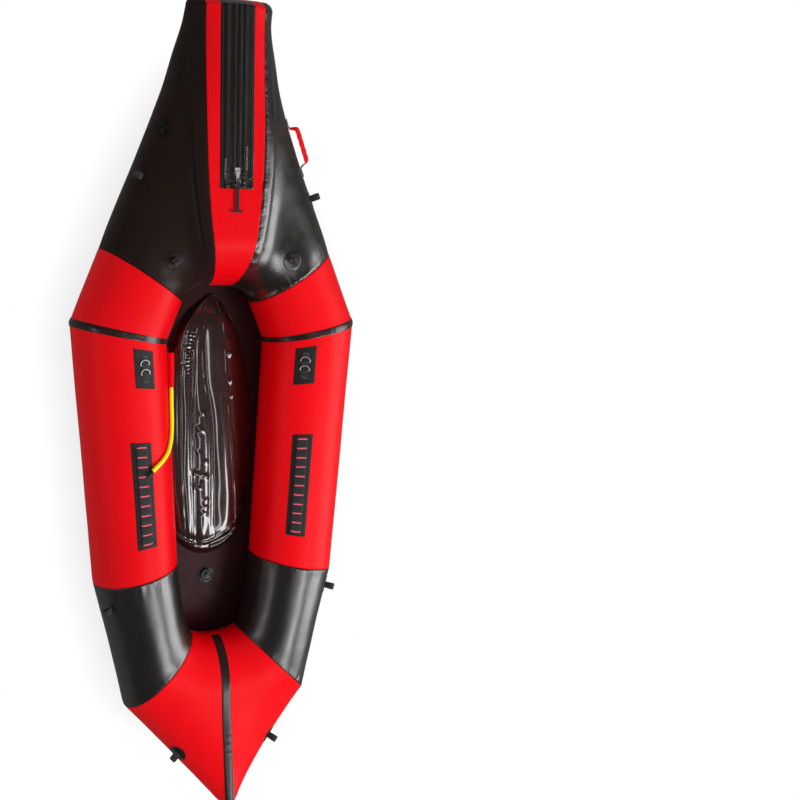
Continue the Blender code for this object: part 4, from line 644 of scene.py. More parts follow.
# Short valleys that run away from each welded seam and fade out
def puckers(toFirst, toLast, around, amount, seed):
    local = np.random.default_rng(seed)
    total = np.zeros(around.shape)
    for distance in (toFirst, toLast):
        wave = np.zeros_like(total)
        for _ in range(5):
            length = local.uniform(0.014, 0.052)
            wave += np.sin(math.tau * around / length + local.uniform(0, math.tau)) / 5
        patchy = np.clip(0.5 + 1.2 * np.sin(around * local.uniform(9, 16) + local.uniform(0, 6)), 0.15, 1.0)
        fade = np.exp(-distance / local.uniform(0.016, 0.026)) * (1 - np.exp(-distance / 0.004))
        total += amount * patchy * fade * (np.abs(wave) ** 1.2 * np.sign(wave) * 3 - 0.6)
        total -= panelLook["dip"] * np.exp(-(distance / panelLook["dipReach"]) ** 2)
    return total


# 1 where the skin shows, 0 where the floor sheet covers it
def shownSkin(turns, covered):
    wrapped, blend = turns % 360, sheetEdge["calmBlend"]
    return 1 - ease((wrapped - covered) / blend) * ease((sheetEdge["calmEnd"] - wrapped) / blend)


# Skin pushed out by shift, with its two edges folded in and its arc lengths and seam distances
def skinPiece(name, points, normals, shift, seam, material, closed, flip=False):
    along, around = arcLengths(points, 0), arcLengths(points, 1)
    laid = np.stack((around, along, np.zeros_like(along)), axis=-1)
    laid, seam = (np.concatenate((rows[:1], rows, rows[-1:])) for rows in (laid, seam))
    points = points + normals * shift[..., None]
    fold = panelLook["fold"]
    points = np.concatenate((points[:1] - normals[:1] * fold, points, points[-1:] - normals[-1:] * fold))
    rows, columns = points.shape[:2]
    mesh = bpy.data.meshes.new(name)
    faces = gridFaces(rows, columns, 0, closed, flip)
    mesh.from_pydata([tuple(p) for p in points.reshape(-1, 3)], [], faces)
    mesh.shade_smooth()
    mesh.update()
    obj = newObject(name, mesh, material)
    spans = columns if closed else columns - 1
    middle = mesh.polygons[len(mesh.polygons) // 3]
    outward = Vector(normals[min(middle.index // spans, len(normals) - 1), middle.index % spans])
    if middle.normal.dot(outward) < 0:
        mesh.flip_normals()
    layAttributes(obj, laid, seam)
    return obj


def hullPanel(name, side, first, last, rows, columns, material, amount, seed, extra=None):
    stations = first + (last - first) * np.linspace(0.0, 1.0, rows)
    turns = np.linspace(0.0, 360.0, columns, endpoint=False)
    points, normals = hullGrid(side, stations, turns, facets=True)
    toFirst = arcLengths(points, 0)
    toLast = toFirst[-1:] - toFirst + (1.0 if last == 6 else 0.0)
    shift = puckers(toFirst, toLast, arcLengths(points, 1), amount, seed)
    shift += panelLook["broad"] * noiseAt(points, 6.0)
    if extra is not None:
        shift += extra(points, toFirst)
    calm = shownSkin(turns, sheetEdge["bowCalm"] if first == 5 else sheetEdge["calm"])
    shift = shift * calm - 0.0003 * (1 - calm)
    return skinPiece(name, points, normals, shift, np.minimum(toFirst, toLast), material, True, side < 0)


# The bunched cloth beside the zipper's front end, and the slack under the handle
def sideWrinkles(points, toFirst):
    x, y = points[..., 0], points[..., 1]
    zone = np.exp(-((y - 0.74) / 0.085) ** 2) * np.exp(-toFirst / 0.022)
    return zone * panelLook["side"] * np.sin(y * 330 + 3.0 * np.sin(y * 61)) * np.where(x > 0, 1.0, 0.25)


panelPlan = (
    ("stern_panel", 1, 2, 96, 210, "black"), ("shoulder_panel", 2, 3, 40, 140, "red"),
    ("side_tube", 3, 4, 110, 140, "red"), ("quarter_panel", 4, 5, 70, 140, "black"),
    ("bow_panel", 5, 6, 90, 140, "red"),
)
skinObjects = []
for side, word in ((1, "right"), (-1, "left")):
    for index, (name, first, last, rows, columns, color) in enumerate(panelPlan):
        material = redFabric if color == "red" else blackFabric
        if name == "quarter_panel":
            material = quarterFabric
        # The left stern panel takes the duller black with the painted soft highlight
        if name == "stern_panel" and word == "left":
            material = dullSoftHighlightFabric
        extra = sideWrinkles if name == "stern_panel" else None
        panel = hullPanel(f"skin_{name}_{word}", side, first, last, rows, columns, material,
                          panelLook[color + "Pucker"], 10 * index + 5 + side, extra)
        standsFor(panel, color, "hull", f"{name}_{word}")
        skinObjects.append(panel)
print("hull panels ready")


# A strip over the stern, from edge to edge across the middle
def centrePanel(name, firstTurn, lastTurn, columns, material, color, node):
    half = np.linspace(0.0, 1.0, 20)
    turns = np.linspace(firstTurn, lastTurn, columns)
    right, rightOut = hullGrid(1, half, turns, facets=True)
    left, leftOut = hullGrid(-1, half, turns, facets=True)
    points = np.concatenate((left[::-1], right[1:]))
    normals = np.concatenate((leftOut[::-1], rightOut[1:]))
    along = arcLengths(points, 0)
    toEdge = np.minimum(along, along[-1:] - along)
    shift = -panelLook["dip"] * np.exp(-(toEdge / panelLook["dipReach"]) ** 2)
    shift = shift + panelLook["broad"] * noiseAt(points, 6.0) * ease(toEdge / 0.03)
    shift = shift * shownSkin(turns, sheetEdge["calm"])
    obj = skinPiece(name, points, normals, shift, toEdge, material, False)
    standsFor(obj, color, "hull", node)
    return obj


skinObjects.append(centrePanel("skin_center_strip", 0.0, 252.0, 180, redFabric, "red", "stern_center_strip"))
skinObjects.append(centrePanel("skin_keel_panel", 252.0, 360.0, 90, blackFabric, "black",
                               "stern_keel_panel"))

skinPoints, skinFaces = [], []
for obj in skinObjects:
    start = len(skinPoints)
    skinPoints.extend(v.co.copy() for v in obj.data.vertices)
    skinFaces.extend([start + i for i in face.vertices] for face in obj.data.polygons)
skinTree = BVHTree.FromPolygons(skinPoints, skinFaces)


# The point above the skin, straight under or over a point of the frame's plane
def dropped(axes, x, y, lift):
    out = axes.col[2].to_3d()
    hit = skinTree.ray_cast(axes @ Vector((x, y, hull["radius"] / 2)), -out, hull["radius"] * 2)[0]
    return hit + out * lift


# Grids for a disc on the skin: its upper face and its lower face, with a rounded rim
def drapedDisc(axes, radius, low, high, rings=8, sides=48):
    circle = [(math.cos(math.tau * j / sides), math.sin(math.tau * j / sides)) for j in range(sides)]
    upper, lower = [], []
    for share in np.arange(rings + 1) / rings:
        reach = radius * max(share, 0.001)
        top = mix(low + 0.0001, high, math.sqrt(max(1 - share ** 14, 0.0)))
        for rows, lift in ((upper, top), (lower, low)):
            rows.append([tuple(dropped(axes, reach * x, reach * y, lift)) for x, y in circle])
    return np.array(upper), np.array(lower)


# Tapes over the knuckles and down the bow
tapeSize = {
    "width": 0.022, "lift": 0.0009, "thickness": 0.0009, "crinkle": 0.0005, "turns": (-39, 235),
    "bowWidth": 0.031, "bowCrinkle": 0.0007, "bowTurns": (8, 236), "bowStart": 5.4, "bowEnd": -1.142,
}


def tapeShell(name, outer, normals, crinkle, seed):
    around = arcLengths(outer, 1)
    local = np.random.default_rng(seed)
    wave = sum(np.sin(math.tau * around / local.uniform(0.009, 0.03) + local.uniform(0, 6))
               for _ in range(4)) / 4
    patchy = np.clip(noiseAt(outer, 14.0) * 1.6 + 0.4, 0.0, 1.0)
    profile = np.sqrt(np.clip(1 - np.linspace(-1, 1, len(outer)) ** 8, 0.0, 1.0))[:, None]
    top = outer + normals * (tapeSize["thickness"] * profile + crinkle * wave * patchy * profile)[..., None]
    return shellObject(name, top, outer - normals * 0.0006, tapeFabric)


for side, word in ((1, "right"), (-1, "left")):
    before, middle, after = (surfaceRow(s, np.array((90.0,))) for s in (2.99, 3.0, 3.01))
    half = tapeSize["width"] / 2 * 0.01
    stations = list(3 - half / np.linalg.norm(before - middle) * np.linspace(1, 0.2, 5)) + [3.0]
    stations += list(3 + half / np.linalg.norm(after - middle) * np.linspace(0.2, 1, 5))
    points, normals = hullGrid(side, stations, np.linspace(*tapeSize["turns"], 300), tapeSize["lift"])
    tape = tapeShell(f"seam_tape_{word}", points, normals, tapeSize["crinkle"], 40 + side)
    standsFor(tape, "black", "hull", f"knuckle_tape_{word}")

bowTurns = np.linspace(*tapeSize["bowTurns"], 260)
bowStations = np.linspace(tapeSize["bowStart"], 6.0, 120)
bowX = np.array([surfaceRow(s, bowTurns)[:, 0] for s in bowStations])
bowRows, bowNormals = [], []
for offset in np.linspace(-1, 1, 9) * (tapeSize["bowWidth"] / 2):
    edge = [np.interp(-abs(offset), -bowX[:, k], bowStations) for k in range(len(bowTurns))]
    laid = [hullGrid(1 if offset >= 0 else -1, [s], [t], tapeSize["lift"]) for s, t in zip(edge, bowTurns)]
    bowRows.append([points[0, 0] for points, _ in laid])
    bowNormals.append([normals[0, 0] for _, normals in laid])
bowRows, bowNormals = np.array(bowRows), np.array(bowNormals)
onTop = (bowTurns < 187) | (bowRows[4, :, 1] < tapeSize["bowEnd"])
count = int(np.flatnonzero(onTop)[-1]) + 1
bowTape = tapeShell("bow_tape", bowRows[:, :count], bowNormals[:, :count], tapeSize["bowCrinkle"], 51)
standsFor(bowTape, "black", "hull", "bow_center_tape")
print("tapes ready")

# The floor sheet and the belly panel keep their CAD shape
# The floor sheet gets the dark film with the painted red reflection
paintNode("floor_sheet", floorRedReflectionFabric)
paintNode("bow_belly_panel", blackFabric)

# The inflated mat: a sheet blown up between its edge and its channel seams, over a flat base
mat = {
    "level": 0.0302, "flange": 0.0010, "rows": 190, "perChannel": 13, "seamHeight": 0.030,
    "edgeHeight": 0.004,
    "pressure": 1.5, "slack": -0.008, "frames": 24, "highest": 0.088, "bending": 2.0, "smoothing": 120,
    "uneven": 0.0008, "tipReach": 0.10, "crease": 0.0026, "creaseReach": 0.0036, "tipCrease": 0.6,
    "rimCrease": 2.6, "rimPlace": 0.06, "rimReach": 0.05, "ladder": 0.0034, "ladderPitch": 0.012,
    "ladderChannel": 1.5, "ladderWidth": 0.36, "ladderMiddle": 0.215, "ladderReach": 0.085,
    "rollHeight": 0.011, "rolls": ((0.022, 0.0, 0.012, 1.0), (0.045, 0.18, 0.006, 0.5)),
    "bunches": ((0.103, 0.261, 0.011, 0.0070), (0.086, 0.202, 0.012, 0.0060), (0.123, 0.192, 0.008, 0.0050),
                (0.108, 0.228, 0.009, 0.0040), (0.088, 0.110, 0.010, 0.0040), (0.092, 0.060, 0.008, 0.0030)),
    "blobs": 16, "blobRanges": ((-0.045, 0.005), (-0.42, 0.04), (0.005, 0.010), (0.0015, 0.0040)),
    "tipY": 0.403, "frontY": -0.497, "frontBend": 0.085,
    "lines": (
        ((0.403, 0.018), (0.389, -0.012), (0.363, -0.045), (0.313, -0.092), (0.25, -0.128), (0.15, -0.152),
         (0.0, -0.163), (-0.2, -0.157), (-0.35, -0.145), (-0.497, -0.125)),
        ((0.403, 0.020), (0.39, -0.004), (0.363, -0.032), (0.313, -0.070), (0.254, -0.094), (0.053, -0.097),
         (-0.222, -0.093), (-0.433, -0.078), (-0.497, -0.072)),
        ((0.403, 0.022), (0.39, 0.004), (0.363, -0.012), (0.319, -0.032), (0.236, -0.046), (0.051, -0.052),
         (-0.086, -0.051), (-0.224, -0.047), (-0.435, -0.043), (-0.497, -0.040)),
        ((0.403, 0.024), (0.39, 0.010), (0.363, 0.002), (0.326, -0.010), (0.236, -0.020), (0.118, -0.013),
         (-0.02, 0.014), (-0.228, 0.017), (-0.44, 0.018), (-0.497, 0.018)),
        ((0.403, 0.028), (0.39, 0.036), (0.335, 0.051), (0.288, 0.058), (0.201, 0.063), (0.098, 0.068),
         (-0.022, 0.080), (-0.127, 0.093), (-0.233, 0.099), (-0.34, 0.103), (-0.412, 0.105),
         (-0.497, 0.100)),
        ((0.403, 0.032), (0.385, 0.052), (0.35, 0.078), (0.30, 0.105), (0.20, 0.138), (0.05, 0.160),
         (-0.1, 0.166), (-0.25, 0.160), (-0.38, 0.148), (-0.497, 0.128)),
    ),
}
floorTop = mat["level"] + mat["flange"]


def matLine(index, y):
    line = sorted(mat["lines"][index])
    return np.interp(y, [p[0] for p in line], [p[1] for p in line])


# Places, pinned ones, distance to the nearest channel seam, and channel number across
def matGrid():
    shares = (1 - np.cos(np.linspace(0.0, math.pi, mat["rows"]))) / 2
    shares = mix(np.linspace(0.0, 1.0, mat["rows"]), shares, 0.35)
    per, channels = mat["perChannel"], len(mat["lines"]) - 1
    within = [mix(k / per, (1 - math.cos(math.pi * k / per)) / 2, 0.8) for k in range(per)]
    steps = [(c, t) for c in range(channels) for t in within] + [(channels - 1, 1.0)]
    points, nearSeam = [], []
    for y, share in zip(mix(mat["frontY"], mat["tipY"], shares), shares):
        knots = [matLine(i, y) for i in range(channels + 1)]
        ends = float(ease(share / 0.07) * ease((1 - share) / 0.09))
        heights = [mat["seamHeight"] * ends + 0.003] * (channels - 1)
        heights = [mat["edgeHeight"], *heights, mat["edgeHeight"]]
        row = []
        for c, t in steps:
            x = mix(knots[c], knots[c + 1], t)
            z = mix(heights[c], heights[c + 1], float(ease(t))) + 0.004 * math.sin(math.pi * t) * ends
            row.append((x, y + mat["frontBend"] * (x / 0.13) ** 2 * (1 - share) ** 4, floorTop + z))
        points.append(row)
        nearSeam.append([min(t, 1 - t) * (knots[c + 1] - knots[c]) for c, t in steps])
    pins = np.zeros((mat["rows"], len(steps)), dtype=bool)
    pins[:, ::per] = pins[0] = pins[-1] = True
    return np.array(points), pins, np.array(nearSeam), np.array([c + t for c, t in steps])


matPoints, matPins, matSeams, matAcross = matGrid()
matRows, matColumns = matPoints.shape[:2]
matPoints[..., 2] += mat["uneven"] * noiseAt(matPoints * np.array((1.0, 0.3, 1.0)), 22.0) * ~matPins
sheetMesh = bpy.data.meshes.new("matSheet")
sheetMesh.from_pydata([tuple(p) for p in matPoints.reshape(-1, 3)], [], gridFaces(matRows, matColumns))
if sheetMesh.polygons[len(sheetMesh.polygons) // 2].normal.z < 0:
    sheetMesh.flip_normals()
blown = newObject("matSheet", sheetMesh, filmFabric)
group = blown.vertex_groups.new(name="pin")
group.add([int(i) for i in np.flatnonzero(matPins.ravel())], 1.0, "REPLACE")
cloth = blown.modifiers.new("cloth", "CLOTH")
setAll(cloth.settings, quality=6, mass=0.15, tension_stiffness=18, compression_stiffness=12,
       shear_stiffness=6, bending_stiffness=mat["bending"], vertex_group_mass="pin",
       shrink_min=mat["slack"], shrink_max=mat["slack"], use_pressure=True,
       uniform_pressure_force=mat["pressure"])
cloth.settings.effector_weights.gravity = 0.0
cloth.collision_settings.use_collision = False
for clock in (scene, cloth.point_cache):
    setAll(clock, frame_start=1, frame_end=mat["frames"])
for number in range(1, mat["frames"] + 1):
    scene.frame_set(number)
depsgraph = bpy.context.evaluated_depsgraph_get()
settled = np.empty(matRows * matColumns * 3, dtype=np.float32)
blown.evaluated_get(depsgraph).to_mesh().vertices.foreach_get("co", settled)
settled = settled.reshape(matRows, matColumns, 3).astype(float)
scene.frame_set(1)
bpy.data.objects.remove(blown, do_unlink=True)

# Smoothed along its length, then creased at the seams, laddered, bunched and rolled at the front
for _ in range(mat["smoothing"]):
    settled[1:-1] = mix(settled[1:-1], (settled[:-2] + settled[2:]) / 2, 0.5)
heights = settled[..., 2]
xs, ys = settled[..., 0], settled[..., 1]
wander = noiseAt(matPoints * np.array((0.0, 1.0, 0.0)), 9.0)
nearTip = np.exp(-(mat["tipY"] - ys) / mat["tipReach"])
sides = np.minimum(matAcross, 5 - matAcross)
ridge = np.exp(-(matSeams / mat["creaseReach"]) ** 2) * np.where(sides > 0.5, 0.8 + 0.4 * wander, 0.0)
rim = np.exp(-((sides - mat["rimPlace"]) / mat["rimReach"]) ** 2) * nearTip
heights += mat["crease"] * (ridge * (1 + mat["tipCrease"] * nearTip) + mat["rimCrease"] * rim)
ladder = np.sin(math.tau * ys / mat["ladderPitch"] + 3.0 * noiseAt(matPoints, 16.0))
rungs = np.exp(-((matAcross - mat["ladderChannel"]) / mat["ladderWidth"]) ** 2)
rungs = rungs * np.exp(-((ys - mat["ladderMiddle"]) / mat["ladderReach"]) ** 4)
heights += mat["ladder"] * ladder * rungs * np.clip(0.5 + noiseAt(matPoints, 30.0), 0.1, 1.0)
lumps = np.random.default_rng(77)
spots = [[lumps.uniform(*limits) for limits in mat["blobRanges"]] for _ in range(mat["blobs"])]
for spotX, spotY, reach, height in (*mat["bunches"], *spots):
    away = ((xs - spotX) / reach) ** 2 + ((ys - spotY + 0.4 * (xs - spotX)) / (0.7 * reach)) ** 2
    heights += height * np.exp(-away)
fromFront = ys - ys[:1]
inside = np.clip(sides / 0.6, 0.0, 1.0)
roll = sum(share * np.exp(-((fromFront - place - lean * xs) / reach) ** 2)
           for place, lean, reach, share in mat["rolls"])
heights += mat["rollHeight"] * roll * inside * (0.8 + 0.5 * noiseAt(matPoints, 18.0))
peak = heights.max()
if peak > mat["highest"]:
    heights[...] = floorTop + (heights - floorTop) * (mat["highest"] - floorTop) / (peak - floorTop)
heights[...] = np.maximum(heights, floorTop + 0.0006)
under = settled.copy()
under[..., 2] = floorTop + 0.0002
cushion = shellObject("floor_mat_cushion", settled, under, filmFabric, smooth=60)
print("mat blown up", round(float(peak), 4))

base = {
    "rear": 0.435, "front": -0.615, "flange": 0.015, "drop": 0.018, "fold": 0.32, "inset": 0.036,
    "channels": 0.166, "flat": 0.16,
    "widths": ((-0.75, .1399), (-0.7, .154), (-0.6, .1741), (-0.5, .1886), (-0.4, .1951), (-0.2, .2061),
               (0, .2172), (0.2, .2282), (0.3, .2212), (0.38, .1881), (0.42, .1715), (0.4388, 0.16)),
}
middle, reach = (base["rear"] + base["front"]) / 2, (base["rear"] - base["front"]) / 2


def ovalHalf(y):
    share = min(abs(y - middle) / reach, 1.0)
    power = 2.0 if y > middle else 2.8
    return (float(np.interp(y, *zip(*base["widths"]))) - base["inset"]) * (1 - share ** power) ** (1 / power)


upper, lower = [], []
for y in middle + reach * np.cos(np.linspace(math.radians(1.5), math.radians(178.5), 180)):
    half = ovalHalf(y)
    xs = half * np.sin(np.linspace(-math.pi / 2, math.pi / 2, 61))
    inside = np.clip((half - np.abs(xs)) / base["flange"] - 1, 0, 1)
    inside = inside * np.clip((min(y - base["front"], base["rear"] - y)) / base["flange"] - 1, 0, 1)
    channel = np.abs(np.sin(math.pi * 2 * xs / base["channels"]))
    folds = noiseAt(np.stack((xs * 0.5 + 3.0, np.full_like(xs, y), xs * 0.0), axis=-1), 34.0)
    swell = mix(0.30, 1.0, np.sqrt(channel)) * (1 - base["fold"] * np.clip(2.2 * folds + 0.2, 0.0, 1.0))
    drop = np.where(np.abs(xs) > base["flat"], 0.0, base["drop"] * np.sqrt(ease(inside)) * swell)
    upper.append(np.stack((xs, np.full_like(xs, y), np.full_like(xs, floorTop)), axis=-1))
    lower.append(np.stack((xs, np.full_like(xs, y), mat["level"] + 0.0001 - drop), axis=-1))
# The mat's base takes the same dark film with the painted red reflection
matBase = shellObject("floor_mat_base", np.array(upper), np.array(lower), floorRedReflectionFabric, smooth=60)
standsFor(cushion, "black", "hull", "floor_mat")
standsFor(matBase, "black", "hull")
print("mat ready")


# Strips that lie along the hull: patches and webbing
def hullStrip(name, place, size, lift, thickness, material, humps=None, rows=60, columns=16):
    side, station, turn = place
    width, length = size
    start, ahead = (surfaceRow(s, np.array((float(turn),)))[0] for s in (station, station + 0.01))
    half = length / 2 * 0.01 / np.linalg.norm(ahead - start)
    halfTurn = math.degrees(width / hull["radius"]) / 2
    shares = np.linspace(0.0, 1.0, rows)
    turns = np.linspace(turn - halfTurn, turn + halfTurn, columns)
    points, normals = hullGrid(side, mix(station + half, station - half, shares), turns, lift)
    rise = np.zeros(rows) if humps is None else humps(shares)
    rim = np.sqrt(np.clip(1 - np.abs(np.linspace(-1, 1, columns)) ** 10, 0.0, 1.0))
    top = points + normals * (thickness * rim[None, :] + rise[:, None])[..., None]
    bottom = points + normals * (rise[:, None] - 0.0004)[..., None]
    return shellObject(name, top, bottom, material, smooth=50), points, normals


# One small shape on every place, through a node tree with named inputs
def repeatShape(name, places, turns, size, material, rounding=1):
    mesh = bpy.data.meshes.new(name)
    mesh.from_pydata([tuple(p) for p in places], [], [])
    attribute = mesh.attributes.new("turn", "FLOAT_VECTOR", "POINT")
    attribute.data.foreach_set("vector", np.array(turns, dtype=np.float32).ravel())
    obj = addObject(name, mesh)
    tree = bpy.data.node_groups.new(name + "Tree", "GeometryNodeTree")
    face = tree.interface
    face.new_socket("Geometry", in_out="INPUT", socket_type="NodeSocketGeometry")
    sizeSocket = face.new_socket("Size", in_out="INPUT", socket_type="NodeSocketVector")
    roundSocket = face.new_socket("Rounding", in_out="INPUT", socket_type="NodeSocketInt")
    face.new_socket("Geometry", in_out="OUTPUT", socket_type="NodeSocketGeometry")
    given = addNode(tree, "NodeGroupInput").outputs
    cube = addNode(tree, "GeometryNodeMeshCube", {"Size": given["Size"]})
    soft = addNode(tree, "GeometryNodeSubdivisionSurface", {
        "Mesh": cube.outputs["Mesh"], "Level": given["Rounding"],
    })
    turn = addNode(tree, "GeometryNodeInputNamedAttribute", {"Name": "turn"}, data_type="FLOAT_VECTOR")
    rotation = addNode(tree, "FunctionNodeEulerToRotation", {"Euler": turn.outputs["Attribute"]})
    copies = addNode(tree, "GeometryNodeInstanceOnPoints", {
        "Points": given["Geometry"], "Instance": soft.outputs["Mesh"],
        "Rotation": rotation.outputs["Rotation"],
    })
    real = addNode(tree, "GeometryNodeRealizeInstances", {"Geometry": copies.outputs["Instances"]})
    paint = addNode(tree, "GeometryNodeSetMaterial", {
        "Geometry": real.outputs["Geometry"], "Material": material,
    })
    addNode(tree, "NodeGroupOutput", {"Geometry": paint.outputs["Geometry"]})
    modifier = obj.modifiers.new("repeat", "NODES")
    modifier.node_group = tree
    modifier[sizeSocket.identifier] = size
    modifier[roundSocket.identifier] = rounding
    plain = bpy.data.meshes.new_from_object(obj.evaluated_get(bpy.context.evaluated_depsgraph_get()))
    bpy.data.objects.remove(obj, do_unlink=True)
    plain.materials.clear()
    plain.shade_smooth()
    result = newObject(name, plain, material)
    plainAttributes(result)
    return result


def eulerOf(xAxis, zAxis):
    xAxis = Vector(xAxis).normalized()
    zAxis = (Vector(zAxis) - xAxis * Vector(zAxis).dot(xAxis)).normalized()
    return tuple(Matrix((xAxis, zAxis.cross(xAxis), zAxis)).transposed().to_euler())


patches = {
    "thigh": {"left": (-1, 3.125, 73), "right": (1, 3.125, 69), "size": (0.070, 0.122)},
    "lacing": {"left": (-1, 3.64, 84), "right": (1, 3.64, 73), "size": (0.070, 0.345)},
    "lift": 0.0006, "thickness": 0.0010,
}
webbing = {
    "thighSize": (0.0235, 0.088), "thighLift": 0.0017, "thighHump": 0.0046, "lacingSize": (0.038, 0.330),
    "lacingLift": 0.0018, "thickness": 0.0012, "loops": 10, "loopHeight": 0.0030,
    "tackSize": (0.0405, 0.0088, 0.0030), "stitchSize": (0.0019, 0.0006, 0.0005), "stitchStep": 0.0024,
    "stitchRows": (-0.041, -0.037, 0.037, 0.041), "stitchHalf": 0.0105, "stitchLift": 0.0033,
    "tackLift": 0.0021, "tackSkew": 0.05,
}
ring = {"width": 0.034, "depth": 0.018, "wire": 0.0030, "pitch": 0.029, "tilt": 6.0, "lift": 0.0014}
barCentres = [sign * ring["pitch"] / 2 + ring["wire"] - ring["depth"] / 4 for sign in (-1, 1)]
half, bend, reach = (ring["width"] - ring["wire"]) / 2, ring["wire"], ring["depth"] - ring["wire"] / 2
corner = [(half - bend * (1 - math.sin(a)), bend * (1 - math.cos(a))) for a in np.linspace(0.4, 1.4, 4)]
ringOutline = [(x, 0.0) for x in np.linspace(-half + bend, half - bend, 8)] + corner
ringOutline += [(half * math.cos(a), bend + (reach - bend) * math.sin(a))
                for a in np.linspace(0, math.pi, 32)]
ringOutline += [(-x, y) for x, y in reversed(corner)]


def thighHumps(shares):
    shape = ((-2.6, 0.0), (-1.7, 0.45), (-0.9, 1.0), (0.9, 1.0), (1.7, 0.45), (2.6, 0.0))
    places, heights = [0.0], [0.0]
    for centre in barCentres:
        for share, rise in shape:
            places.append(0.5 + (centre + share * ring["wire"]) / webbing["thighSize"][1])
            heights.append(rise * webbing["thighHump"])
    return np.interp(shares, places + [1.0], heights + [0.0])


def lacingHumps(shares):
    inner = np.clip((shares - 0.02) / 0.96, 0.0, 1.0)
    arches = np.sqrt(np.abs(np.sin(math.pi * webbing["loops"] * inner)))
    return webbing["loopHeight"] * arches * ((shares > 0.02) & (shares < 0.98))


# Short raised stitches along the straight run from a to b
def stitchLine(name, a, b, normal):
    count = max(int((b - a).length / webbing["stitchStep"]), 1)
    places = [mix(a, b, (i + 0.5) / count) for i in range(count)]
    return repeatShape(name, places, [eulerOf(b - a, normal)] * count, webbing["stitchSize"], whiteThread)


def fabricPatch(name, place, size, node):
    patch = hullStrip(name, place, size, patches["lift"], patches["thickness"], patchFabric)[0]
    standsFor(patch, "web", "hull", node)


for word in ("left", "right"):
    place = patches["thigh"][word]
    fabricPatch(f"thigh_patch_{word}", place, patches["thigh"]["size"], f"d_patch_{word}")
    strip = hullStrip(f"thigh_webbing_{word}", place, webbing["thighSize"], webbing["thighLift"],
                      webbing["thickness"], blackWebbing, thighHumps, rows=160, columns=10)[0]
    standsFor(strip, "web", "hull", f"d_webbing_{word}")
    axes = laidFrame(*place)
    for offset in webbing["stitchRows"]:
        ends = [axes @ Vector((sign * webbing["stitchHalf"], offset, webbing["stitchLift"]))
                for sign in (-1, 1)]
        name = f"thigh_stitches_{word}_{int((offset + 0.05) * 1000)}"
        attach(stitchLine(name, *ends, axes.col[2].to_3d()), "hull")
    for centre, end in zip(barCentres, ("front", "rear")):
        bar = axes @ Matrix.Translation((0, centre, ring["lift"] + ring["wire"] / 2 + 0.0003))
        bar = bar @ Matrix.Rotation(math.radians(ring["tilt"]), 4, "X")
        wire = tubeObject(f"ring_{word}_{end}", [bar @ Vector((x, y, 0)) for x, y in ringOutline],
                          ring["wire"] / 2, brightMetal, 14, closed=True)
        standsFor(wire, "metal", f"ring_{word}_{end}", f"d_ring_{word}_{end}")
    place = patches["lacing"][word]
    fabricPatch(f"lacing_pad_{word}", place, patches["lacing"]["size"], f"lacing_patch_{word}")
    strip, points, normals = hullStrip(f"lacing_web_{word}", place, webbing["lacingSize"],
                                       webbing["lacingLift"], webbing["thickness"], blackWebbing,
                                       lacingHumps, rows=280, columns=12)
    standsFor(strip, "web", "hull", f"lacing_webbing_{word}")
    tackPlaces, tackTurns = [], []
    for i in range(webbing["loops"] + 1):
        row = int(round(mix(0.025, 0.975, i / webbing["loops"]) * (len(points) - 1)))
        out = normals[row, points.shape[1] // 2]
        across = points[row, -1] - points[row, 0]
        skew = webbing["tackSkew"] * rng.normal() * (points[row - 3, 5] - points[row + 3, 5]) * 50
        tackPlaces.append(points[row].mean(axis=0) + out * webbing["tackLift"])
        tackTurns.append(eulerOf(across / np.linalg.norm(across) + skew, out))
    tacks = repeatShape(f"bar_tacks_{word}", tackPlaces, tackTurns, webbing["tackSize"], redThread, 3)
    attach(tacks, "hull")
print("patches and webbing ready")

# Tie-down loops
tie = {
    "places": {
        "deck_left": (-1, 1.86, 78), "deck_right": (1, 1.90, 84), "stern_left": (-1, 1.85, 146),
        "stern_right": (1, 1.90, 162), "quarter_left": (-1, 4.167, 147), "quarter_right": (1, 4.133, 150),
        "bow_left": (-1, 5.475, 158), "bow_right": (1, 5.425, 158),
    },
    "radius": 0.031, "faces": (0.0001, 0.0013), "gap": 0.016, "lift": 0.0012, "height": 0.030,
    "width": 0.020, "thickness": 0.0018,
    "shape": ((-0.40, 0.0), (-0.75, 0.30), (-1.0, 0.62), (-0.88, 0.83), (-0.50, 0.97), (0.0, 1.0),
              (0.50, 0.97), (0.88, 0.83), (1.0, 0.62), (0.75, 0.30), (0.40, 0.0)),
}


def directions(route):
    along = np.gradient(route, axis=0)
    return along / np.linalg.norm(along, axis=1, keepdims=True)


def placed(axes, points):
    return [tuple(axes @ Vector(p)) for p in points]


# Heights of a strap's lower and upper face at one place of its width
def strapFaces(offset, width, thickness):
    rim = math.sqrt(max(1 - abs(2 * offset / width) ** 8, 0.0))
    return thickness * mix(0.45, 0.0, rim), thickness * mix(0.55, 1.0, rim)


# Webbing along a path in the frame's X-Z plane, as wide as the Y axis gives it
def webbingBand(name, axes, path, width, thickness, material, columns=7):
    along = directions(path)
    outwards = np.stack((-along[:, 1], along[:, 0]), axis=1)
    outer, inner = [], []
    for y in np.linspace(-width / 2, width / 2, columns):
        for rows, rise in zip((inner, outer), strapFaces(y, width, thickness)):
            rows.append(placed(axes, [(x, y, z) for x, z in path + outwards * rise]))
    return shellObject(name, np.array(outer), np.array(inner), material, smooth=60)


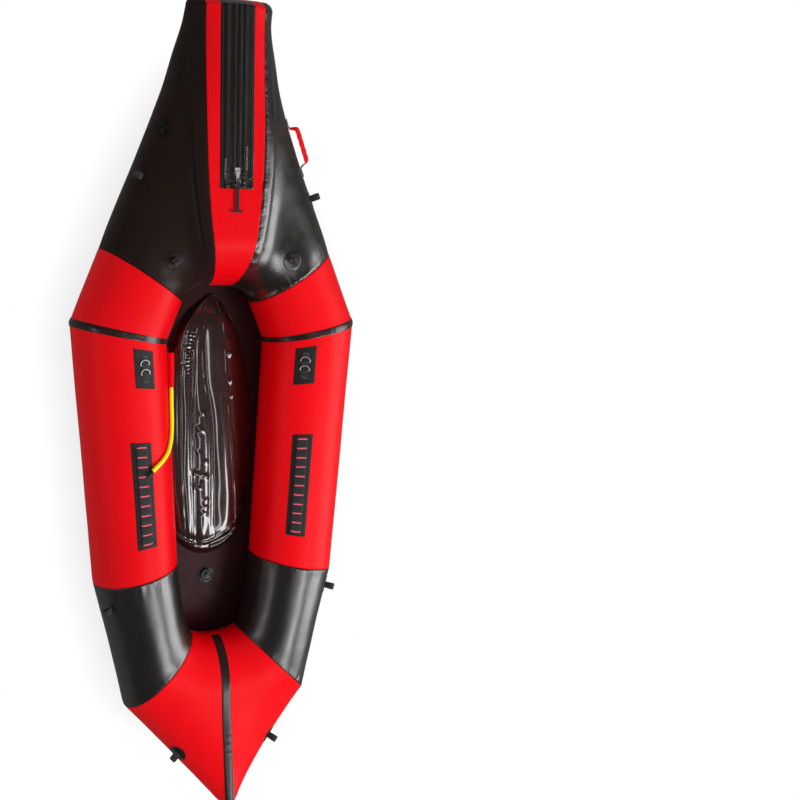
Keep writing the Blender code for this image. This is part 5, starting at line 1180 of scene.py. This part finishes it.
for word, place in tie["places"].items():
    axes = laidFrame(*place)
    top, bottom = drapedDisc(axes, tie["radius"], *tie["faces"])
    # Loop discs on the left stern side share that painted soft highlight
    discCloth = dullSoftHighlightFabric if word in ("deck_left", "stern_left") else blackFabric
    disc = shellObject(f"loop_patch_{word}", top, bottom, discCloth, closed=True)
    route = [(tie["gap"] / 2 * x, 0.0, tie["height"] * z + tie["lift"]) for x, z in tie["shape"]]
    smoothRoute, _ = evenRoute(route, 0.0022)
    band = webbingBand(f"loop_{word}", axes, smoothRoute[:, ::2], tie["width"], tie["thickness"],
                       blackWebbing)
    standsFor(band, "web", "hull", f"tie_loop_{word}")
    standsFor(disc, "web", "hull")
print("tie loops ready")

# Grab handle
handle = {
    "place": (1, 1.80, 158), "length": 0.190, "width": 0.026, "thickness": 0.0025, "height": 0.026,
    "twist": 24, "sleeveStart": -0.60, "sleeveThickness": 0.0016, "sleeveGap": 0.0004, "ripple": 0.35,
    "shape": ((-1.0, 0.0), (-0.9, 0.0), (-0.80, 0.0), (-0.70, 0.02), (-0.655, 0.16), (-0.62, 0.48),
              (-0.58, 0.84), (-0.50, 0.985), (-0.3, 1.0), (0.0, 1.0), (0.3, 1.0), (0.50, 0.985),
              (0.58, 0.84), (0.62, 0.48), (0.655, 0.16), (0.70, 0.02), (0.80, 0.0), (0.9, 0.0), (1.0, 0.0)),
}
handleAxes = laidFrame(*handle["place"])
inverse = handleAxes.inverted()
span = handle["length"] / 2
route, _ = evenRoute([(0.0, s * span, h * handle["height"]) for s, h in handle["shape"]], 0.0028)
along = directions(route)
rise = np.clip(route[:, 2] / handle["height"], 0.0, 1.0)
turned = math.radians(handle["twist"]) * ease((rise - 0.15) / 0.85)
across = np.stack((np.cos(turned), np.zeros_like(turned), np.sin(turned)), axis=1)
across -= along * (across * along).sum(axis=1, keepdims=True)
across /= np.linalg.norm(across, axis=1, keepdims=True)
outward = np.cross(across, along)
outer, inner = [], []
for s in np.linspace(-0.5, 0.5, 9) * handle["width"]:
    line = route + across * s
    floors = np.array([(inverse @ dropped(handleAxes, s, y, 0.0010)).z for y in route[:, 1]])
    line[:, 2] += floors * (1 - ease(rise / 0.5))
    for rows, height in zip((inner, outer), strapFaces(s, handle["width"], handle["thickness"])):
        rows.append(placed(handleAxes, line + outward * height))
strap = shellObject("handle_strap", np.array(outer), np.array(inner), blackWebbing, smooth=60)
standsFor(strap, "web", "hull", "grab_handle_strap")

# Its sleeve, a flattened ring of 32 points at every step of the raised part
angles = math.tau * np.arange(32) / 32
wide = np.copysign(np.abs(np.cos(angles)) ** 0.5, np.cos(angles))[:, None]
deep = np.copysign(np.abs(np.sin(angles)) ** 0.7, np.sin(angles))[:, None]
halfWidth, halfDepth = handle["width"] / 2, handle["thickness"] / 2
outer, inner = [], []
for point, sideways, out, height in zip(route, across, outward, rise):
    if height < 0.12 or point[1] < handle["sleeveStart"] * span:
        continue
    wave = 1 + handle["ripple"] * math.sin(point[1] * 260)
    gap = handle["sleeveGap"]
    for rows, grow in ((outer, gap + handle["sleeveThickness"]), (inner, gap)):
        depth = halfDepth + (halfDepth + grow * wave) * deep
        rows.append(placed(handleAxes, point + sideways * (halfWidth + grow) * wide + out * depth))
sleeve = shellObject("handle_sleeve", np.array(outer), np.array(inner), redFabric, closed=True, smooth=60)
standsFor(sleeve, "red", "hull", "grab_handle_sleeve")
print("handle ready")

# Valves
valve = {
    "lift": 0.0008, "flange": 0.060, "flangeThickness": 0.0012, "bore": 0.0268, "collar": 0.035,
    "collarHeight": 0.0095, "cap": 0.042, "lobes": 24, "lobeDepth": 0.0009, "foot": 0.0048,
    "capTop": 0.0139, "leash": 0.0014, "ringWidth": 0.0030, "seatDepth": 0.001, "edge": 0.0006,
    "knob": ((0, 0.0033), (0.0050, 0.0033), (0.0050, 0.0021), (0.0030, 0.0021), (0.0030, 0), (0.0125, 0),
             (0.0135, -0.0008), (0.0165, -0.0008), (0.0175, 0)),
    "leashRoute": ((0.0049, 0.0007), (0.012, 0.0007), (0.0195, 0.0007), (0.0220, -0.0006),
                   (0.0228, -0.0035), (0.0229, -0.0070)),
    "leashWidth": 0.006, "leashThickness": 0.0012,
}
outAxis = Vector((-0.769404, 0.241936, 0.591173)).normalized()
alongAxis = (Vector((0, 1, 0)) - outAxis * outAxis.y).normalized()
sternAxes = axesOf(alongAxis.cross(outAxis), alongAxis, outAxis, (-0.206841, 0.920502, 0.250045))
floorAxes = Matrix.Translation((0.007, -0.575, 0.031205))


def washer(inner, low, width, height, radius):
    outer, high = inner + width, low + height
    return rounded([(inner, low), (outer, low), (outer, high), (inner, high)], radius)


def makeValve(word, axes):
    top, bore, collar = valve["lift"] + valve["flangeThickness"], valve["bore"] / 2, valve["collar"] / 2
    flange, rim, bottom = valve["flange"] / 2, valve["collarHeight"], -valve["seatDepth"]
    profile = rounded([(bore, bottom), (flange, bottom), (flange, top), (collar + 0.003, top + 0.0003),
                       (collar, top + 0.002), (collar, rim), (bore, rim)], valve["edge"])
    body = latheObject(f"{word}_valve_seat", axes, profile, blackPlastic, 96)
    standsFor(body, "plastic", "hull", f"{word}_valve_base")
    radius, foot, crown = valve["cap"] / 2, valve["foot"], valve["capTop"]
    profile = rounded([(r, crown + z) for r, z in valve["knob"]] + [
        (radius - 0.0008, crown), (radius, crown - 0.0010), (radius, foot), (collar + 0.0004, foot),
        (collar + 0.0004, crown - 0.0022), (0, crown - 0.0022),
    ], 0.0005)
    lobed = [i for i, (r, z) in enumerate(profile) if r > radius - 0.0006 and z < crown]
    cap = latheObject(f"{word}_valve_lid", axes, profile, blackPlastic, 192, valve["lobes"],
                      valve["lobeDepth"], lobed)
    standsFor(cap, "plastic", f"{word}_cap", f"{word}_valve_cap")
    leashLow, eye = top - 0.0002 + 0.0009, crown + 0.0004
    profile = washer(radius + 0.0004, leashLow, valve["ringWidth"], valve["leash"], 0.0004)
    leashRing = latheObject(f"{word}_leash_ring", axes, profile, blackPlastic, 96)
    profile = washer(0.0034, eye, 0.0030, 0.0014, 0.0003)
    eyelet = latheObject(f"{word}_leash_eye", axes, profile, blackPlastic, 48)
    route = [(x, 0.0, eye + z) for x, z in valve["leashRoute"]]
    fine, _ = evenRoute([*route, (route[-1][0], 0.0, leashLow + valve["leash"] / 2)], 0.0012)
    strap = webbingBand(f"{word}_leash_strap", axes, fine[:, ::2] - (0.0, 0.0004), valve["leashWidth"],
                        valve["leashThickness"], blackPlastic, 5)
    standsFor(leashRing, "plastic", f"{word}_leash", f"{word}_valve_leash")
    for piece in (eyelet, strap):
        standsFor(piece, "plastic", f"{word}_leash")
    paintNode(f"{word}_valve_insert", blackPlastic)
    paintNode(f"{word}_valve_flap", greyRubber)


makeValve("stern", sternAxes)
makeValve("floor", floorAxes)
print("valves ready")

# Zipper along the strip
zipper = {
    "front": 0.742, "rear": 1.298, "width": 0.108, "lift": 0.0008, "thickness": 0.0012, "wrinkle": 0.0042,
    "ribs": ((0.036, 0.0022, 0.0010), (0.021, 0.0020, 0.0012), (0.0085, 0.0026, 0.0014)),
    "teeth": (0.76, 1.252), "toothPitch": 0.0038, "toothSize": (0.0052, 0.0022, 0.0026),
    "toothOffset": 0.0019, "toothLift": 0.0030, "tickPitch": 0.0052, "tickSize": (0.0085, 0.0014, 0.0012),
    "tickLift": 0.0026, "tickRows": ((-0.037, 0.772, 0.830), (0.031, 0.800, 0.872)),
}


# Height of the skin at a place, seen from above
def skinTop(x, y):
    return skinTree.ray_cast(Vector((x, y, 0.6)), Vector((0, 0, -1)), 1.0)[0].z


half = zipper["width"] / 2
zipYs = np.linspace(zipper["front"], zipper["rear"], 220)
zipBase = np.array([[(x, y, skinTop(x, y)) for y in zipYs] for x in np.linspace(-half, half, 55)])
zipBase[..., 2] += zipper["lift"]
x, y = zipBase[..., 0], zipBase[..., 1]
ribs = sum(rise * np.exp(-((np.abs(x) - middle) / reach) ** 2) for middle, reach, rise in zipper["ribs"])
crumple = noiseAt(zipBase * np.array((1.0, 1.0, 0.0)), 85.0, 3)
waves = zipper["wrinkle"] * np.exp(-(y - zipper["front"]) / 0.028)
waves = waves * (crumple * 1.3 + 0.3 * np.sin(y * 900 + x * 40))
edges = np.sqrt(np.clip(1 - (np.abs(x) / half) ** 14, 0.0, 1.0))
zipTop, zipUnder = zipBase.copy(), zipBase.copy()
zipTop[..., 2] += zipper["thickness"] * edges + (ribs + np.maximum(waves, -0.0006)) * edges
zipUnder[..., 2] -= 0.0006
tapePiece = shellObject("zip_panel", zipTop, zipUnder, zipTape, smooth=60)
standsFor(tapePiece, "black", "hull", "zipper_tape", "zipper_end_patch")
toothPlaces, toothTurns = [], []
first, last = zipper["teeth"]
for i in range(int((last - first) / zipper["toothPitch"])):
    for side in (-1, 1):
        y = first + (i + 0.25 * (side + 1)) * zipper["toothPitch"]
        slope = float(topRise(np.array(y + 0.01)) - topRise(np.array(y - 0.01))) / 0.02
        toothPlaces.append((side * zipper["toothOffset"], y, skinTop(0, y) + zipper["toothLift"]))
        toothTurns.append((math.atan(slope), 0.0, 0.0))
teeth = repeatShape("zip_teeth", toothPlaces, toothTurns, zipper["toothSize"], blackPlastic)
standsFor(teeth, "black", "hull", "zipper_rail_left", "zipper_rail_right")
tickPlaces = [(x, y, skinTop(x, y) + zipper["tickLift"]) for x, low, high in zipper["tickRows"]
              for y in np.arange(low, high, zipper["tickPitch"])]
tickTurns = [(0.0, 0.0, 0.12 * math.sin(90 * y)) for _, y, _ in tickPlaces]
ticks = repeatShape("zip_end_stitches", tickPlaces, tickTurns, zipper["tickSize"], whiteThread)
standsFor(ticks, "web", "hull")
for name, material in (("puller", brightMetal), ("slider", brightMetal), ("pull_strap", blackWebbing)):
    paintNode("zipper_" + name, material)
print("zipper ready")

# Hose
hose = {
    "sleeve": ((3.055, 12, 0.536), (3.10, 15, 0.510), (3.15, 18, 0.464), (3.175, 19.5, 0.436),
               (3.20, 21, 0.418)),
    "route": ((3.2015, 21.1, 0.643), (3.26, 23, 0.575), (3.32, 25, 0.565), (3.38, 29, 0.565),
              (3.43, 35, 0.565), (3.475, 45, 0.565), (3.505, 57, 0.60), (3.525, 67, 0.72), (3.54, 74, 0.90)),
    "sleeveDiameter": 0.022, "sleeveEnd": 0.0085, "diameter": 0.014,
}
sleeveRoute = [hullPoint(-1, s, t, h * hose["sleeveDiameter"]) for s, t, h in hose["sleeve"]]
sleevePoints, _ = evenRoute(sleeveRoute, 0.004)
count = len(sleevePoints)
radii = [mix(hose["sleeveDiameter"] / 2, hose["sleeveEnd"], i / (count - 1)) * (1 + 0.03 * math.sin(i * 1.9))
         for i in range(count)]
hoseSleeve = tubeObject("hose_cover", sleevePoints, radii, redFabric, 24)
standsFor(hoseSleeve, "red", "hull", "hose_sleeve")
hoseRoute = [hullPoint(-1, s, t, h * hose["diameter"]) for s, t, h in hose["route"]]
hosePoints, hoseLength = evenRoute(hoseRoute, 0.012)
curve = setAll(bpy.data.curves.new("air_hose", "CURVE"), dimensions="3D", bevel_depth=hose["diameter"] / 2,
               bevel_resolution=6, use_fill_caps=True)
spline = curve.splines.new("POLY")
spline.points.add(len(hosePoints) - 1)
for slotPoint, point in zip(spline.points, hosePoints):
    slotPoint.co = (*point, 1.0)
spline.use_smooth = True
curve.materials.append(yellowTube)
hoseObject = addObject("air_hose", curve)
end = Vector(hosePoints[-1])
heading = (end - Vector(hosePoints[-2])).normalized()
sideways = heading.cross(Vector((0, 0, 1))).normalized()
tipAxes = axesOf(sideways, heading.cross(sideways), heading, end + heading * 0.0003)
profile = rounded([(0, 0), (0.0070, 0), (0.0070, 0.0045), (0.0050, 0.0052), (0.0044, 0.020), (0.0040, 0.028),
                   (0.0024, 0.028), (0.0024, 0.012), (0, 0.012)], 0.0004)
mouth = latheObject("hose_tip", tipAxes, profile, blackPlastic, 40)
standsFor(mouth, "plastic", "hull", "hose_mouthpiece")
standsFor(hoseObject, "tube", "hull", "inflation_hose")
print("hose ready")

# Light, background and camera
studio = {
    "ambient": 0.56, "ceiling": 0.035, "floor": 0.14, "fade": -0.35,
    "lights": (
        ("windowRight", (4.3, -0.9, 1.6), (0.2, -0.2, 0.2), (4.0, 3.0), 125, "glossy"),
        ("stripTop", (0.25, -1.0, 5.0), (0.0, -0.3, 0.2), (0.26, 3.6), 7.0, "glossy"),
        ("windowLeft", (-4.2, -0.2, 1.7), (-0.3, 0.0, 0.2), (2.6, 0.6), 9, "glossy"),
        ("skylight", (2.2, -2.4, 4.7), (0.0, -0.6, 0.3), (2.6, 1.3), 50, "glossy"),
        ("keyRight", (1.9, -0.9, 3.4), (0.0, -0.1, 0.2), (1.8, 1.8), 100, "diffuse"),
    ),
}
world = scene.world or bpy.data.worlds.new("world")
scene.world = world
world.use_nodes = True
tree = world.node_tree
tree.nodes.clear()


def background(color, strength):
    return addNode(tree, "ShaderNodeBackground", {"Color": (*color, 1), "Strength": strength}).outputs[0]


# White for the camera, soft grey for light, and darker from above to below for reflections
parts = addNode(tree, "ShaderNodeSeparateXYZ", {0: addNode(tree, "ShaderNodeTexCoord").outputs["Generated"]})
level = rangeNode(tree, parts.outputs["Z"], studio["fade"], 0.0, studio["floor"], studio["ceiling"],
                  interpolation_type="SMOOTHSTEP")
rays = addNode(tree, "ShaderNodeLightPath").outputs
seen = mathNode(tree, "MAXIMUM", rays["Is Camera Ray"], rays["Is Transmission Ray"])
unseen = addNode(tree, "ShaderNodeMixShader", {
    0: rays["Is Glossy Ray"], 1: background((1.0, 0.985, 0.97), studio["ambient"]),
    2: background((1.0, 0.96, 0.92), level),
})
shown = addNode(tree, "ShaderNodeMixShader", {0: seen, 1: unseen.outputs[0], 2: background((1, 1, 1), 1.0)})
addNode(tree, "ShaderNodeOutputWorld", {0: shown.outputs[0]})
for name, place, target, size, power, use in studio["lights"]:
    lamp = setAll(bpy.data.lights.new(name, "AREA"), shape="RECTANGLE", size=size[0], size_y=size[1],
                  energy=power)
    setAll(addObject(name, lamp), location=place, visible_camera=False, visible_diffuse=use == "diffuse",
           visible_glossy=use == "glossy",
           rotation_euler=(Vector(target) - Vector(place)).to_track_quat("-Z", "Y").to_euler())

# Pale floor, white with a faint contact shadow, seen from above only
ground = {"half": 6.0, "drop": 0.0015, "reach": 0.14, "shade": 0.72}
groundMaterial = bpy.data.materials.new("paleFloor")
groundMaterial.use_nodes = True
tree = groundMaterial.node_tree
tree.nodes.clear()
near = addNode(tree, "ShaderNodeAmbientOcclusion", {"Distance": ground["reach"]}).outputs["AO"]
level = addNode(tree, "ShaderNodeMapRange", {"Value": near, "To Min": ground["shade"]}).outputs["Result"]
shown = addNode(tree, "ShaderNodeMixShader", {
    0: addNode(tree, "ShaderNodeNewGeometry").outputs["Backfacing"],
    1: addNode(tree, "ShaderNodeEmission", {"Strength": level}).outputs[0],
    2: addNode(tree, "ShaderNodeBsdfTransparent").outputs[0],
})
addNode(tree, "ShaderNodeOutputMaterial", {0: shown.outputs[0]})
half, drop = ground["half"], ground["drop"]
groundMesh = bpy.data.meshes.new("pale_floor")
groundMesh.from_pydata([(x * half, y * half, -drop) for x, y in ((-1, -1), (1, -1), (1, 1), (-1, 1))],
                       [], [(0, 1, 2, 3)])
groundObject = newObject("pale_floor", groundMesh, groundMaterial)
for way in ("diffuse", "glossy", "transmission", "volume_scatter", "shadow"):
    setattr(groundObject, "visible_" + way, False)

camera = setAll(bpy.data.cameras.new("camera"), lens=53.35, sensor_width=36, shift_x=0.1169, shift_y=0.0508)
cameraTurn = Euler([math.radians(a) for a in (-10.6754, -21.7303, 1.2781)], "XYZ")
scene.camera = setAll(addObject("camera", camera), location=(-1.1736, 0.6306, 3.8832),
                      rotation_euler=cameraTurn)
scene.render.resolution_x = scene.render.resolution_y = 800
scene.view_settings.view_transform = "Standard"

print("scene ready")
